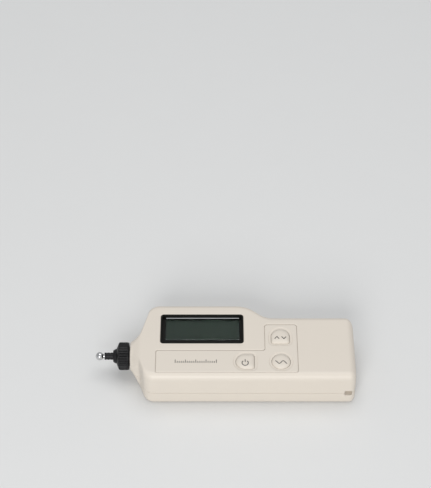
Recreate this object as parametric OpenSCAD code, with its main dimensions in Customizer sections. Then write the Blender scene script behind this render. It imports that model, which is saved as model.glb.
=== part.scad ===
// Handheld vibration meter lying on its back: the display looks up (+Z) and the probe points to -X.
// Lengths are in millimetres. The origin is on the rest plane, under the middle of the overall box.

/* [Case] */
// Length of the plastic case, without the probe
body_l = 160; // [156:1:176]
// Width across the head of the case
head_w = 68; // [67:0.5:76]
// Width of the handle, measured from the straight near side
handle_w = 56.5; // [55:0.5:60]
// Thickness of the case, back to display face
body_h = 30; // [29.5:0.5:34]
// Wall thickness of both shells
wall = 2.2; // [1.8:0.1:2.4]
// Height of the parting line above the back
seam_z = 11.2; // [10.8:0.1:12]
// Radius of the rounded edge round the display face
face_edge_r = 5; // [4:0.25:6]
// Radius of the rounded edge round the back
back_edge_r = 3; // [2:0.25:4]
// Length of the head beyond the display window
head_end = 1.8; // [1:0.1:6]
// Length of the slope from head to handle
waist_l = 14.5; // [12:0.5:17]
// Radius of the bend from the slope to the handle
waist_r = 15; // [8:0.5:18]

/* [Nose and probe] */
// Radius of the round nose that holds the probe
nose_r = 10.2; // [10:0.1:11]
// Distance of the probe axis from the near side
axis_in = 29; // [28:0.5:31]
// Depth of the probe axis under the display face
axis_down = 12.7; // [12.2:0.1:13.2]
// Length of the probe in front of the nose
probe_l = 25; // [24:0.5:30]
// Outer radius of the knurled collar
collar_r = 9.9; // [9.2:0.05:10.1]
// Length of the knurled collar
collar_l = 9; // [8:0.25:10]
// Number of ribs round the collar
collar_ribs = 36; // [24:2:60]
// Gap between the collar and the nose
collar_gap = 0.9; // [0.5:0.1:1.5]
// Radius of the probe's neck
neck_r = 2.6; // [2.2:0.1:3.2]
// Radius of the contact ball
ball_r = 3; // [2.4:0.1:3.4]

/* [Display] */
// Length of the display window
window_l = 59.5; // [58:0.5:60]
// Distance of the window from the nose end
window_x = 21.5; // [21:0.25:22.5]
// Distance of the window from the far side
window_y = 10.4; // [10:0.2:11.5]
// Distance of the window from the keypad overlay
window_gap = 6.3; // [5:0.1:7]
// Black border of the window at each end of the glass
border_l = 3.45; // [3.2:0.05:4.5]
// Black border of the window along both sides of the glass, on average
border_w = 3.9; // [3.7:0.05:4.5]

/* [Keys] */
// Width of the keys: one is round, and two have a flat side
key_d = 13.2; // [12:0.2:15]
// Radius of the two corners beside a key's flat side
key_corner_r = 2.2; // [1.4:0.1:3]
// Height of the keys' crown above the face
key_proud = 1.2; // [0.6:0.1:1.6]
// Travel of a key
key_travel = 0.6; // [0.3:0.1:0.6]
// Length of the overlay's long strip
overlay_l = 100.8; // [98:0.2:102]
// Width of the overlay's long strip
overlay_w = 20.5; // [20:0.1:22]
// Width of the overlay's short column
overlay_column_w = 23.4; // [21:0.2:25]
// Height of the overlay's column, from the strip's near edge
overlay_column_l = 44.4; // [43:0.1:48]
// Thickness of the overlay
overlay_t = 0.5; // [0.3:0.1:0.7]

/* [Battery] */
// Length of the battery with its terminals
battery_l = 48.5; // [47:0.5:49]
// Width of the battery
battery_w = 26.5; // [25:0.5:27]
// Height of the battery
battery_h = 17.5; // [16.5:0.1:17.5]

/* [Electronics] */
// Depth of the main board's top under the display face
board_down = 8; // [7.8:0.1:8.2]
// Thickness of the main board
board_t = 1.6; // [1:0.1:1.6]
// Radius of the output socket's bore
jack_bore_r = 1.8; // [1.3:0.05:2]

/* [Hidden] */

// Colours of the pieces
case_colour = [0.84, 0.81, 0.76];
black = [0.07, 0.07, 0.07];
steel = [0.72, 0.73, 0.75];

// Overrun of a cut past the face that it opens
over = 1;
// Gap between pieces that move past each other
move_gap = 0.3;
// Gap between fixed pieces that are laid in place
seat_gap = 0.15;
// Radial gap of a shaft that turns in its bore
run_gap = 0.05;
// Least radius left on a corner that is moved inwards
least_r = 0.4;
// Steps on each rounded corner of the plan outline
plan_steps = 7;
// Steps on each rounded corner of a section across the case
section_steps = 7;
// Facets of the true circles
$fn = 48;

// Overall length, and the places of the ends and sides
overall_l = body_l + probe_l;
tip_x = -overall_l / 2;
nose_x = tip_x + probe_l;
butt_x = overall_l / 2;
near_y = -head_w / 2;
far_y = head_w / 2;
handle_y = near_y + handle_w;
axis_y = near_y + axis_in;
axis_z = body_h - axis_down;
face_in = body_h - wall;
head_l = window_x + window_l + head_end;

// Plan of the nose and head: where the shoulders lie, and where the head's corners start
shoulder_near = 15;
shoulder_far = 12;
shoulder_dx = 6.8;
head_far_dx = 14.2;
head_near_dx = 11.7;
nose_end_r = 1.2;
shoulder_r = 5.6;
head_r = 8.2;
head_back_r = 19;
butt_far_r = 6;
butt_near_r = 4.5;
// Length over which the round nose turns into the flat case
nose_blend_l = 8;
// Rings along that length
nose_rings = 10;
// Half of the flat left between the round quarters of the nose
nose_flat = 0.15;
// Least distance between two rings of the case skin
ring_gap = 0.12;
// Length of the nose that stays solid round the pickup
nose_solid_l = 9;
// Extra inset of the cavity under the rounded face edge
roof_step = 1.5;

// Corners of the case in plan, each with its radius, counterclockwise from the nose's near side
case_corners = [
    [nose_x, axis_y - nose_r, nose_end_r],
    [nose_x + shoulder_dx, axis_y - shoulder_near, shoulder_r],
    [nose_x + head_near_dx, near_y, head_r],
    [butt_x, near_y, butt_near_r],
    [butt_x, handle_y, butt_far_r],
    [nose_x + head_l + waist_l, handle_y, waist_r],
    [nose_x + head_l, far_y, head_back_r],
    [nose_x + head_far_dx, far_y, head_r],
    [nose_x + shoulder_dx, axis_y + shoulder_far, shoulder_r],
    [nose_x, axis_y + nose_r, nose_end_r]
];

// Small vector helpers
function unit(v) = v / norm(v);
function left_of(v) = [-v[1], v[0]];
function turn(a, b) = a[0] * b[1] - a[1] * b[0];
function flat(p) = [p[0], p[1]];
function before(list, i) = list[(i + len(list) - 1) % len(list)];
function after(list, i) = list[(i + 1) % len(list)];
function smooth(t) = let (u = max(0, min(1, t))) u * u * (3 - 2 * u);
function mix(a, b, t) = a + (b - a) * t;

// The same corners moved inwards by d, with outer corners tightened and inner ones widened to match
function inset(list, d) = [
    for (i = [0 : len(list) - 1])
        let (
            e1 = unit(flat(list[i]) - flat(before(list, i))),
            e2 = unit(flat(after(list, i)) - flat(list[i])),
            n1 = left_of(e1),
            n2 = left_of(e2),
            p = flat(list[i]) + (n1 + n2) * d / (1 + n1 * n2),
            r = turn(e1, e2) > 0 ? max(list[i][2] - d, least_r) : list[i][2] + d
        )
        [p[0], p[1], r]
];

// Points of one rounded corner
function corner_arc(p, c, n, r, steps) =
    let (
        a = unit(p - c),
        b = unit(n - c),
        half = acos(a * b) / 2,
        centre = c + unit(a + b) * r / sin(half),
        from = c + a * r / tan(half) - centre,
        to = c + b * r / tan(half) - centre,
        a0 = atan2(from[1], from[0]),
        sweep = (atan2(to[1], to[0]) - a0 + 540) % 360 - 180
    )
    [for (k = [0 : steps]) centre + r * [cos(a0 + sweep * k / steps), sin(a0 + sweep * k / steps)]];

// Points of a whole outline with all its corners rounded
function rounded(list, steps) = [
    for (i = [0 : len(list) - 1])
        each corner_arc(flat(before(list, i)), flat(list[i]), flat(after(list, i)), list[i][2], steps)
];

function sorted(v) = len(v) < 2 ? v : let (m = v[floor(len(v) / 2)]) concat(
    sorted([for (a = v) if (a < m) a]), [for (a = v) if (a == m) a], sorted([for (a = v) if (a > m) a]));
function thinned(v, gap) = [
    for (i = [0 : len(v) - 1])
        if (i == 0 || i == len(v) - 1 || (v[i] - v[i - 1] > gap && last(v) - v[i] > gap))
            v[i]
];
function last(v) = v[len(v) - 1];

// Near and far side of the case as tables of y against x
case_plan = rounded(case_corners, plan_steps);
corner_points = plan_steps + 1;
near_side = [for (i = [0 : 4 * corner_points - 1]) case_plan[i]];
far_side = [for (i = [0 : 6 * corner_points - 1]) case_plan[len(case_plan) - 1 - i]];

// Stations of the skin's rings along the case
ring_x = thinned(sorted(concat(
    [for (p = near_side) p[0]],
    [for (p = far_side) p[0]],
    [for (k = [1 : nose_rings]) nose_x + nose_blend_l * k / nose_rings],
    [for (k = [0 : section_steps]) butt_x - face_edge_r * (1 - sin(90 * k / section_steps))],
    [butt_x, butt_x]
)), ring_gap);

// How far a quarter round of radius r has drawn in at distance s before the end that it rounds
function end_round(s, r) = s >= r ? 0 : r - sqrt(max(0, r * r - (r - s) * (r - s)));

// One ring of the skin: a rounded rectangle that becomes a circle at the nose
function ring(x) =
    let (
        t = smooth((x - nose_x) / nose_blend_l),
        tip = end_round(x - nose_x, nose_end_r),
        top = mix(axis_z + nose_r, body_h, t) - tip - end_round(butt_x - x, face_edge_r),
        low = mix(axis_z - nose_r, 0, t) + tip + end_round(butt_x - x, back_edge_r),
        y0 = lookup(x, near_side),
        y1 = lookup(x, far_side),
        top_r = mix(nose_r - nose_flat, face_edge_r, t) - tip,
        low_r = mix(nose_r - nose_flat, back_edge_r, t) - tip,
        centres = [
            [y1 - top_r, top - top_r, top_r, 0],
            [y0 + top_r, top - top_r, top_r, 90],
            [y0 + low_r, low + low_r, low_r, 180],
            [y1 - low_r, low + low_r, low_r, 270]
        ]
    )
    [
        for (c = centres, k = [0 : section_steps])
            let (a = c[3] + 90 * k / section_steps)
            [x, c[0] + c[2] * cos(a), c[1] + c[2] * sin(a)]
    ];

// Outside of the closed case, both shells together
module case_skin() {
    n = 4 * (section_steps + 1);
    m = len(ring_x);
    polyhedron(
        points = [for (x = ring_x) each ring(x)],
        faces = concat(
            [[for (j = [0 : n - 1]) j]],
            [
                for (i = [0 : m - 2], j = [0 : n - 1], half = [0, 1])
                    let (a = i * n + j, b = i * n + (j + 1) % n)
                    half == 0 ? [a, a + n, b + n] : [a, b + n, b]
            ],
            [[for (j = [0 : n - 1]) m * n - 1 - j]]
        )
    );
}

// A straight prism on the case's plan, moved inwards by d
module plan_prism(d, z0, z1) {
    translate([0, 0, z0])
        linear_extrude(z1 - z0)
            polygon(rounded(inset(case_corners, d), plan_steps));
}

// A block between two corners
module block(low, high) {
    translate(low)
        cube(high - low);
}

// A plate with round corners, its near corner at p, of length l along X, width w and thickness t
module plate(p, l, w, t, r) {
    translate(p)
        linear_extrude(t) {
            translate([r, 0])
                square([l - 2 * r, w]);
            translate([0, r])
                square([l, w - 2 * r]);
            for (x = [r, l - r], y = [r, w - r])
                translate([x, y])
                    circle(r);
        }
}

// An upright round bar from z0 to z1 at the place p
module post(p, z0, z1, r) {
    translate([p[0], p[1], z0])
        cylinder(h = z1 - z0, r = r);
}

// A round bar on the probe axis from x0 to x1
module axis_bar(x0, x1, r) {
    translate([x0, axis_y, axis_z])
        rotate([0, 90, 0])
            cylinder(h = x1 - x0, r = r);
}

// Everything above (side 1) or below (side -1) the parting line
module half_space(side) {
    z0 = side > 0 ? seam_z : -over;
    z1 = side > 0 ? body_h + over : seam_z;
    block([nose_x - over, near_y - over, z0], [butt_x + over, far_y + over, z1]);
}

// The hollow between the two shells
module cavity() {
    intersection() {
        union() {
            plan_prism(wall, wall, face_in - roof_step);
            plan_prism(wall + roof_step, wall, face_in);
        }
        block([nose_x + nose_solid_l, near_y, 0], [butt_x, far_y, body_h]);
    }
}

// Lip of the rear shell that enters the front shell, on a band of the wall
lip_out = 1.2;
lip_h = 1.5;
lip_start = 1;
module lip(gap) {
    difference() {
        plan_prism(lip_out - gap, seam_z - over, seam_z + lip_h + gap);
        plan_prism(wall, seam_z - 2 * over, seam_z + lip_h + over);
        block([nose_x - over, near_y, 0], [nose_x + nose_solid_l + lip_start - gap, far_y, body_h]);
    }
}

// Case screws: places, and the sizes of the bosses that they join
boss_r = 2.9;
boss_in = 4.5;
boss_seat_z = 4;
pilot_r = 1.2;
pilot_z = 19;
screw_r = 1.15;
screw_clear_r = 1.35;
screw_top_z = 17;
screw_head_r = 2.3;
screw_head_h = 1.8;
counterbore_r = 2.6;
boss_gap = 0.1;
boss_far_dx = 7.3;
boss_near_dx = 8.1;
boss_far_back = 22.5;
boss_near_back = 13.5;
boss_handle_in = 4.9;
case_screw_places = [
    [nose_x + head_far_dx + boss_far_dx, far_y - boss_in],
    [nose_x + head_near_dx + boss_near_dx, near_y + boss_in],
    [butt_x - boss_far_back, handle_y - boss_handle_in],
    [butt_x - boss_near_back, near_y + boss_in]
];

// Display stack, from the board upwards
board_top = body_h - board_down;
board_low = board_top - board_t;
strip_h = 1.6;
glass_t = 1.1;
glass_low = board_top + strip_h;
glass_top = glass_low + 2 * glass_t;
bezel_low = glass_top + seat_gap;
bezel_floor_t = 0.8;
bezel_floor = bezel_low + bezel_floor_t;
bezel_wall = 1;
bezel_drop = 0.3;
bezel_flange = 1.5;
bezel_flange_t = 1;
window_r = 2.2;
overlay_dy = 3.8;
window_w = head_w - window_y - window_gap - overlay_w - overlay_dy;
window_x0 = nose_x + window_x;
window_y0 = far_y - window_y - window_w;
window_mid = [window_x0 + window_l / 2, window_y0 + window_w / 2];
// The glass sits a little beyond the window's middle
view_dx = 0.35;
view_dy = 2.1;
view_mid = window_mid + [view_dx, view_dy];
view_l = window_l - 2 * border_l;
view_w = window_w - 2 * border_w;
glass_rim = 2.2;
glass_ledge = 2.9;
glass_l = view_l + 2 * glass_rim;
glass_w = view_w + 2 * glass_ledge;
holder_t = 1.45;
holder_lip = 1;
lens_rim = 0.55;
lens_w = view_w + 2 * lens_rim;
lens_l = view_l + 2 * lens_rim;
lens_t = 0.8;
lens_r = 0.6;

// Keypad overlay, measured from the nose end and the near side
overlay_dx = 18.5;
overlay_x0 = nose_x + overlay_dx;
overlay_y0 = near_y + overlay_dy;
overlay_r = 1.5;
overlay_column_r = 2.3;
overlay_gap = 0.25;
overlay_corners = [
    [overlay_x0, overlay_y0, overlay_r],
    [overlay_x0 + overlay_l, overlay_y0, overlay_column_r],
    [overlay_x0 + overlay_l, overlay_y0 + overlay_column_l, overlay_column_r],
    [overlay_x0 + overlay_l - overlay_column_w, overlay_y0 + overlay_column_l, overlay_column_r],
    [overlay_x0 + overlay_l - overlay_column_w, overlay_y0 + overlay_w, overlay_r],
    [overlay_x0, overlay_y0 + overlay_w, overlay_r]
];

// Keys: their places, and the parts under the crown
key_r = key_d / 2;
key_row_in = 9.9;
key_row_y = overlay_y0 + key_row_in;
key_pitch = 25.4;
key_column_y = 23;
// The keys sit a little nearer to the window than the column's middle
key_column_dx = 0.4;
key_column_x = overlay_x0 + overlay_l - overlay_column_w / 2 - key_column_dx;
measure_at = [key_column_x - key_pitch, key_row_y];
mode_at = [key_column_x, key_row_y];
range_at = [key_column_x, key_row_y + key_column_y];
// The flat sides face the round key between the two
measure_side = 0;
range_side = -90;
key_flange = 1.3;
key_flange_t = 1;
key_roof_gap = 0.2;
key_flange_top = face_in - key_roof_gap;
key_stem_r = 1.7;
switch_w = 6;
switch_h = 3.5;
switch_top = board_top + switch_h;
// How deep the stem stands in its switch at rest, and the room left under it when pressed
key_stem_in = 0.3;
switch_well = key_travel + key_stem_in + move_gap;

// Strap slot at the near corner of the butt end: a bent channel round a corner post
strap_post_r = 2.5;
strap_r = 7.7;
strap_low = 8.8;
strap_high = 13.6;
strap_wall = 1.4;

// Pickup behind the nose, on the probe axis
pickup_gap = 0.3;
nose_wall = 2.8;
pocket_x = nose_x + nose_wall;
ring_t = 1.3;
pickup_x0 = pocket_x + ring_t;
pickup_l = 14.2;
nose_rim = 1.8;
pickup_r = nose_r - nose_rim;
collar_wall = 3.2;
spigot_r = collar_r - collar_wall;
pickup_wall = 1.4;
pickup_base = 2;
cap_t = 1.2;
pickup_x1 = pickup_x0 + pickup_l;
rib_t = 1.6;
rib_pitch = 6;
rib_places = [nose_x + nose_solid_l, nose_x + nose_solid_l + rib_pitch];
rib_side = 2.4;
rib_wide = pickup_r + rib_side;
bolt_r = 1.5;
bolt_head_r = 3;
bolt_head_t = 1.6;
disc_r = 5;
disc_t = 1;
electrode_t = 0.1;
disc_stack = 2 * disc_t + electrode_t;
mass_r = 5.6;
mass_l = 5.5;

// Probe in front of the nose
collar_x1 = nose_x - collar_gap;
collar_x0 = collar_x1 - collar_l;
collar_web = 1.6;
// The collar's front is a steep cone, and its rear a plain rim
collar_slope = 4.4;
collar_slope_l = 1.7;
collar_edge = 0.65;
collar_rim_l = 0.9;
collar_rim_in = 0.15;
rib_depth = 0.5;
part_gap = 0.2;
spigot_x0 = collar_x0 + collar_web + part_gap;
foot_r = 4;
foot_l = 2.2;
shoulder_front_r = 4.4;
shoulder_back_r = 5.4;
thread_r = 2;
thread_l = 7.6;
ball_x = tip_x + ball_r;
// The ball's pin, and how much of it shows between the ball and the neck
pin_r = 1.2;
pin_out = 0.4;
pin_in = 2.1;
neck_front = ball_x + ball_r + pin_out;
// Grooves round the neck: the first lies behind its front ring
neck_ring_l = 1.5;
neck_ring_pitch = 2.2;
neck_ring_t = 0.5;
neck_ring_depth = 0.4;
neck_ring_count = 2;

// Battery, its bay and its sliding door on the back
door_low = 0.2;
door_t = wall - door_low;
door_side = 1.7;
door_half = battery_w / 2 + door_side;
door_foot = 1.2;
door_tongue = 1.5;
door_tongue_t = 1;
door_tongue_low = wall + move_gap;
door_tongue_top = door_tongue_low + door_tongue_t;
door_tab_l = 2.5;
door_tab_t = 0.9;
door_tab_low = wall - door_tab_t;
door_tab_half = 8;
grip_count = 6;
grip_pitch = 2.4;
grip_w = 1.2;
grip_depth = 0.5;
grip_half = 9;
grip_back = 8;
battery_end_gap = 0.6;
terminal_h = 2.1;
battery_body_l = battery_l - terminal_h;
battery_x0 = butt_x - wall - battery_end_gap - battery_body_l;
battery_in = 12;
battery_y0 = near_y + battery_in;
battery_mid_y = battery_y0 + battery_w / 2;
battery_z0 = wall + move_gap;
battery_r = 2.5;
terminal_r = 2.7;
terminal_ring_r = 3.9;
terminal_ring_in = 2.45;
terminal_pitch = 12.7;
terminal_z = battery_z0 + battery_h / 2;
bay_gap = 0.4;
bay_wall = 1.6;
bay_drop = 2.6;
bay_top = board_low - bay_drop;
bay_room = 4.8;
bay_x0 = battery_x0 - bay_room;
door_x0 = bay_x0 - bay_wall;

// Snap connector on the battery
snap_gap = 0.2;
snap_t = 1.6;
snap_w = 25;
snap_h = 11;
snap_x1 = battery_x0 - terminal_h - snap_gap;
snap_socket_in = 2.85;
snap_stud_r = 2.25;

// Board, its parts and its screws
board_end_gap = 8.5;
board_near_gap = 6.5;
board_side_gap = 2.5;
board_past_window = 2.5;
board_start = 0.5;
board_head_x = window_x0 + window_l + board_past_window;
board_x0 = window_x0 + board_start;
board_x1 = butt_x - board_end_gap;
board_y0 = near_y + board_near_gap;
board_y1 = handle_y - wall - board_side_gap;
board_head_y = view_mid[1] + glass_w / 2 + holder_t + seat_gap;
board_post_r = 2.2;
board_screw_r = 0.9;
board_screw_head_r = 1.8;
board_screw_head_h = 1.3;
board_screw_l = 5;
post_in_board = 16.1;
post_past_head = 5.5;
post_in = 6;
post_back = 27;
post_past_battery = 6.4;
post_near_in = 2.4;
board_screw_places = [
    [board_x0 + post_in_board, key_row_y],
    [board_head_x + post_past_head, board_y1 - post_in],
    [butt_x - post_back, battery_mid_y + battery_w / 2 + post_past_battery],
    [butt_x - post_back, board_y0 + post_near_in]
];
// Shares of the board's head, along X and Y, at which its parts stand
chip_h = 1.8;
chip_l = 12;
chip_w = 7.5;
chip_shares = [[0.3, 0.62], [0.66, 0.62], [0.32, 0.36]];
capacitor_shares = [[0.16, 0.9], [0.16, 0.76], [0.9, 0.36], [0.9, 0.18]];
capacitor_r = 2.5;
capacitor_h = 6;
trim_shares = [[0.64, 0.18], [0.78, 0.18]];
trim_w = 6.5;
trim_h = 4;
trim_screw_r = 1.3;
trim_slot = 0.4;
trim_screw_h = 0.4;

// Output socket in the butt end
jack_in = 9.3;
jack_y = handle_y - jack_in;
jack_w = 8;
jack_h = 7;
jack_l = 11.6;
jack_z = board_low - seat_gap - jack_h / 2;
jack_x1 = butt_x - wall - seat_gap;
jack_neck_r = 3;
jack_bore_l = 11;

// Leads
lead_r = 0.6;
lead_sides = 8;
lead_rings = 12;
lead_bend = 4;
lead_pitch = 3;
lead_lift = 2;
pad_back = 8;

// A bent channel round the corner of the butt end, between two radii
module strap_channel(r0, r1, z0, z1) {
    translate([butt_x, near_y, z0])
        rotate_extrude(angle = 90, start = 90)
            translate([r0, 0])
                square([r1 - r0, z1 - z0]);
}

// One shell before its cuts: its half of the walls with what stands inside, trimmed by the skin
module shell(side) {
    intersection() {
        case_skin();
        union() {
            difference() {
                half_space(side);
                cavity();
            }
            intersection() {
                strap_channel(0, strap_r + strap_wall, strap_low - strap_wall, strap_high + strap_wall);
                half_space(side);
            }
            children();
        }
    }
}

// Saddle ribs that carry the pickup
module shell_ribs(z0, z1) {
    for (x = rib_places)
        block([x, axis_y - rib_wide, z0], [x + rib_t, axis_y + rib_wide, z1]);
}

module strap_cut() {
    strap_channel(strap_post_r, strap_r, strap_low, strap_high);
}

// The bore of the nose and the pocket of the pickup
module pickup_cut() {
    axis_bar(nose_x - over, pocket_x + over, spigot_r + pickup_gap);
    axis_bar(pocket_x, pickup_x1 + over, pickup_r + pickup_gap);
}

// Hole in the butt wall for the neck of the output socket
module jack_cut() {
    translate([jack_x1 - over, jack_y, jack_z])
        rotate([0, 90, 0])
            cylinder(h = wall + 3 * over, r = jack_neck_r + move_gap);
}

// Front shell: display face, side walls, window, key holes, bosses and the round nose
module front_shell() {
    color(case_colour)
        difference() {
            shell(1) {
                for (p = case_screw_places)
                    post(p, seam_z + boss_gap, face_in + overlay_t, boss_r);
                for (p = board_screw_places)
                    post(p, board_top, face_in + overlay_t, board_post_r);
                shell_ribs(seam_z + boss_gap, face_in + overlay_t);
            }
            lip(seat_gap);
            for (p = case_screw_places)
                post(p, 0, pilot_z, pilot_r);
            for (p = board_screw_places)
                post(p, board_low, board_top + board_screw_l, board_screw_r + run_gap);
            plate([window_x0, window_y0, face_in - over], window_l, window_w, wall + 2 * over, window_r);
            translate([0, 0, body_h - overlay_t])
                linear_extrude(overlay_t + over)
                    polygon(rounded(overlay_corners, plan_steps));
            key_holes(face_in - over);
            pickup_cut();
            strap_cut();
            jack_cut();
        }
}

// Rear shell: back, lip, battery bay with the door's channel, and the bosses for the screws
module rear_shell() {
    color(case_colour)
        difference() {
            shell(-1) {
                lip(0);
                for (p = case_screw_places)
                    post(p, door_low, seam_z, boss_r);
                shell_ribs(wall / 2, seam_z);
                battery_bay();
            }
            for (p = case_screw_places) {
                post(p, -over, boss_seat_z, counterbore_r);
                post(p, 0, seam_z + over, screw_clear_r);
            }
            door_channel();
            pickup_cut();
            strap_cut();
            jack_cut();
        }
}

// Walls round the battery, standing on the back, and the thicker feet that hold the door's tongues
module battery_bay() {
    half = battery_w / 2 + bay_gap;
    foot = door_half + door_tongue + bay_wall;
    difference() {
        union() {
            block([bay_x0 - bay_wall, battery_mid_y - half - bay_wall, wall / 2],
                [butt_x - wall / 2, battery_mid_y + half + bay_wall, bay_top]);
            block([bay_x0 - bay_wall, battery_mid_y - foot, wall / 2],
                [butt_x - wall / 2, battery_mid_y + foot, door_tongue_top + move_gap + bay_wall]);
        }
        block([bay_x0, battery_mid_y - half, 0],
            [butt_x - wall, battery_mid_y + half, bay_top + over]);
        block([bay_x0 - 2 * bay_wall, battery_mid_y - lead_pitch, terminal_z],
            [bay_x0 + over, battery_mid_y + lead_pitch, bay_top + over]);
        block([butt_x - wall, near_y, seam_z],
            [butt_x, far_y, body_h]);
    }
}

// Room for the door, its tongues and its front tab, open at the butt end
module door_channel() {
    g = move_gap;
    block([door_x0 - g, battery_mid_y - door_half - g, -over],
        [butt_x + over, battery_mid_y + door_half + g, door_tongue_top + g]);
    block([door_x0 - g, battery_mid_y - door_half - door_tongue - g, door_tongue_low - g],
        [butt_x + over, battery_mid_y + door_half + door_tongue + g, door_tongue_top + g]);
    block([door_x0 - door_tab_l - g, battery_mid_y - door_tab_half - g, door_tab_low - g],
        [butt_x, battery_mid_y + door_tab_half + g, door_tongue_top + g]);
}

// Sliding door over the battery: a panel flush with the back, with tongues along both sides
module battery_door() {
    color(case_colour)
        intersection() {
            difference() {
                union() {
                    block([door_x0, battery_mid_y - door_half, door_low],
                        [butt_x, battery_mid_y + door_half, door_low + door_t]);
                    for (s = [-1, 1]) {
                        side_rail(s, door_half - door_foot, door_half, door_low);
                        side_rail(s, door_half - door_foot, door_half + door_tongue, door_tongue_low);
                    }
                    block([door_x0 - door_tab_l, battery_mid_y - door_tab_half, door_tab_low],
                        [door_x0 + door_tab_l, battery_mid_y + door_tab_half, wall]);
                }
                for (k = [0 : grip_count - 1])
                    translate([butt_x - grip_back - k * grip_pitch, battery_mid_y - grip_half, 0])
                        cube([grip_w, 2 * grip_half, door_low + grip_depth]);
            }
            union() {
                block([door_x0 - door_tab_l - over, near_y, -over], [butt_x - back_edge_r, far_y, seam_z]);
                translate([butt_x - back_edge_r, far_y, back_edge_r])
                    rotate([90, 0, 0])
                        cylinder(h = head_w, r = back_edge_r);
            }
        }
}

// A bar along the door on side s, between the distances a and b from the battery's middle
module side_rail(s, a, b, z0) {
    y0 = battery_mid_y + (s > 0 ? a : -b);
    y1 = battery_mid_y + (s > 0 ? b : -a);
    block([door_x0, y0, z0], [butt_x, y1, door_tongue_top]);
}

// Black frame in the window, with a floor that borders the glass and a flange under the face
module lcd_bezel() {
    g = seat_gap;
    l = window_l - 2 * g;
    w = window_w - 2 * g;
    low = [window_x0 + g, window_y0 + g, bezel_low];
    color(black)
        difference() {
            union() {
                plate(low, l, w, body_h - bezel_drop - bezel_low, window_r - g);
                plate([window_x0 - bezel_flange, window_y0 - bezel_flange, face_in - g - bezel_flange_t],
                    window_l + 2 * bezel_flange, window_w + 2 * bezel_flange, bezel_flange_t, window_r);
            }
            plate([low[0] + bezel_wall, low[1] + bezel_wall, bezel_floor], l - 2 * bezel_wall,
                w - 2 * bezel_wall, body_h, window_r / 2);
            plate([view_mid[0] - view_l / 2, view_mid[1] - view_w / 2, bezel_low - over], view_l, view_w,
                body_h, least_r);
        }
}

// Clear protective window, lying on the bezel's floor
module lcd_lens() {
    color([0.75, 0.8, 0.8, 0.4])
        plate([view_mid[0] - lens_l / 2, view_mid[1] - lens_w / 2, bezel_floor], lens_l, lens_w, lens_t,
            lens_r);
}

// Upper glass of the liquid crystal display
module lcd_front_glass() {
    color([0.2, 0.24, 0.22])
        plate([view_mid[0] - glass_l / 2, view_mid[1] - glass_w / 2 + glass_rim, glass_low + glass_t],
            glass_l, glass_w - 2 * glass_rim, glass_t, least_r);
}

// Lower glass with the contact ledges on both long edges
module lcd_rear_glass() {
    color([0.35, 0.4, 0.36])
        plate([view_mid[0] - glass_l / 2, view_mid[1] - glass_w / 2, glass_low], glass_l, glass_w, glass_t,
            least_r);
}

// Frame on the board that holds the glass
module lcd_holder() {
    g = seat_gap;
    far = holder_t + g;
    color([0.9, 0.9, 0.88])
        difference() {
            plate([view_mid[0] - glass_l / 2 - far, view_mid[1] - glass_w / 2 - far, board_top],
                glass_l + 2 * far, glass_w + 2 * far, glass_top - board_top, holder_lip);
            plate([view_mid[0] - glass_l / 2 - g, view_mid[1] - glass_w / 2 - g, board_low],
                glass_l + 2 * g, glass_w + 2 * g, board_down, least_r);
        }
}

// Elastic contact strips between the board and the glass
module contact_strips() {
    w = glass_rim - 2 * seat_gap;
    color([0.3, 0.3, 0.33])
        for (y = [view_mid[1] - glass_w / 2 + seat_gap, view_mid[1] + glass_w / 2 - seat_gap - w])
            block([view_mid[0] - glass_l / 2 + w, y, board_top],
                [view_mid[0] + glass_l / 2 - w, y + w, glass_low]);
}

// Thin sheet in the face's shallow recess, cut out round the keys
module keypad_overlay() {
    color(case_colour)
        difference() {
            translate([0, 0, body_h - overlay_t])
                linear_extrude(overlay_t)
                    polygon(rounded(inset(overlay_corners, overlay_gap), plan_steps));
            key_holes(face_in);
        }
}

// Upright bar on a key's outline, grown by g: round, or with a flat side that faces the angle side
module key_bar(p, side, g, z0, z1) {
    r = key_r + g;
    c = key_corner_r + g;
    translate([p[0], p[1], z0])
        linear_extrude(z1 - z0) {
            circle(r);
            if (side != undef)
                rotate([0, 0, side]) {
                    translate([0, -r])
                        square([r - c, 2 * r]);
                    translate([0, c - r])
                        square([r, 2 * r - 2 * c]);
                    for (s = [-1, 1])
                        translate([r - c, s * (r - c)])
                            circle(c);
                }
        }
}

// The three holes for the keys, from z0 up through the face
module key_holes(z0) {
    key_bar(measure_at, measure_side, move_gap, z0, body_h + over);
    key_bar(mode_at, undef, move_gap, z0, body_h + over);
    key_bar(range_at, range_side, move_gap, z0, body_h + over);
}

// One key: a crowned button, the flange that keeps it in, and the stem that works the switch
module key(p, side) {
    rise = key_proud + bezel_drop;
    reach = side == undef ? key_r : (key_r - key_corner_r) * sqrt(2) + key_corner_r;
    crown_r = (reach * reach + rise * rise) / (2 * rise);
    flange_low = key_flange_top - key_flange_t;
    color(case_colour) {
        intersection() {
            key_bar(p, side, 0, flange_low, body_h + key_proud);
            translate([p[0], p[1], body_h + key_proud - crown_r])
                sphere(crown_r, $fn = 96);
        }
        key_bar(p, side, key_flange, flange_low, key_flange_top);
        post(p, switch_top - key_stem_in, flange_low + key_flange_t / 2, key_stem_r);
    }
}

module measure_key() {
    key(measure_at, measure_side);
}

module mode_key() {
    key(mode_at, undef);
}

module range_key() {
    key(range_at, range_side);
}

// Push switches on the board, one under each key
module key_switches() {
    color([0.15, 0.15, 0.16])
        for (p = [measure_at, mode_at, range_at])
            difference() {
                block([p[0] - switch_w / 2, p[1] - switch_w / 2, board_top],
                    [p[0] + switch_w / 2, p[1] + switch_w / 2, switch_top]);
                post(p, switch_top - switch_well, switch_top + over, key_stem_r + move_gap);
            }
}

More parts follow.
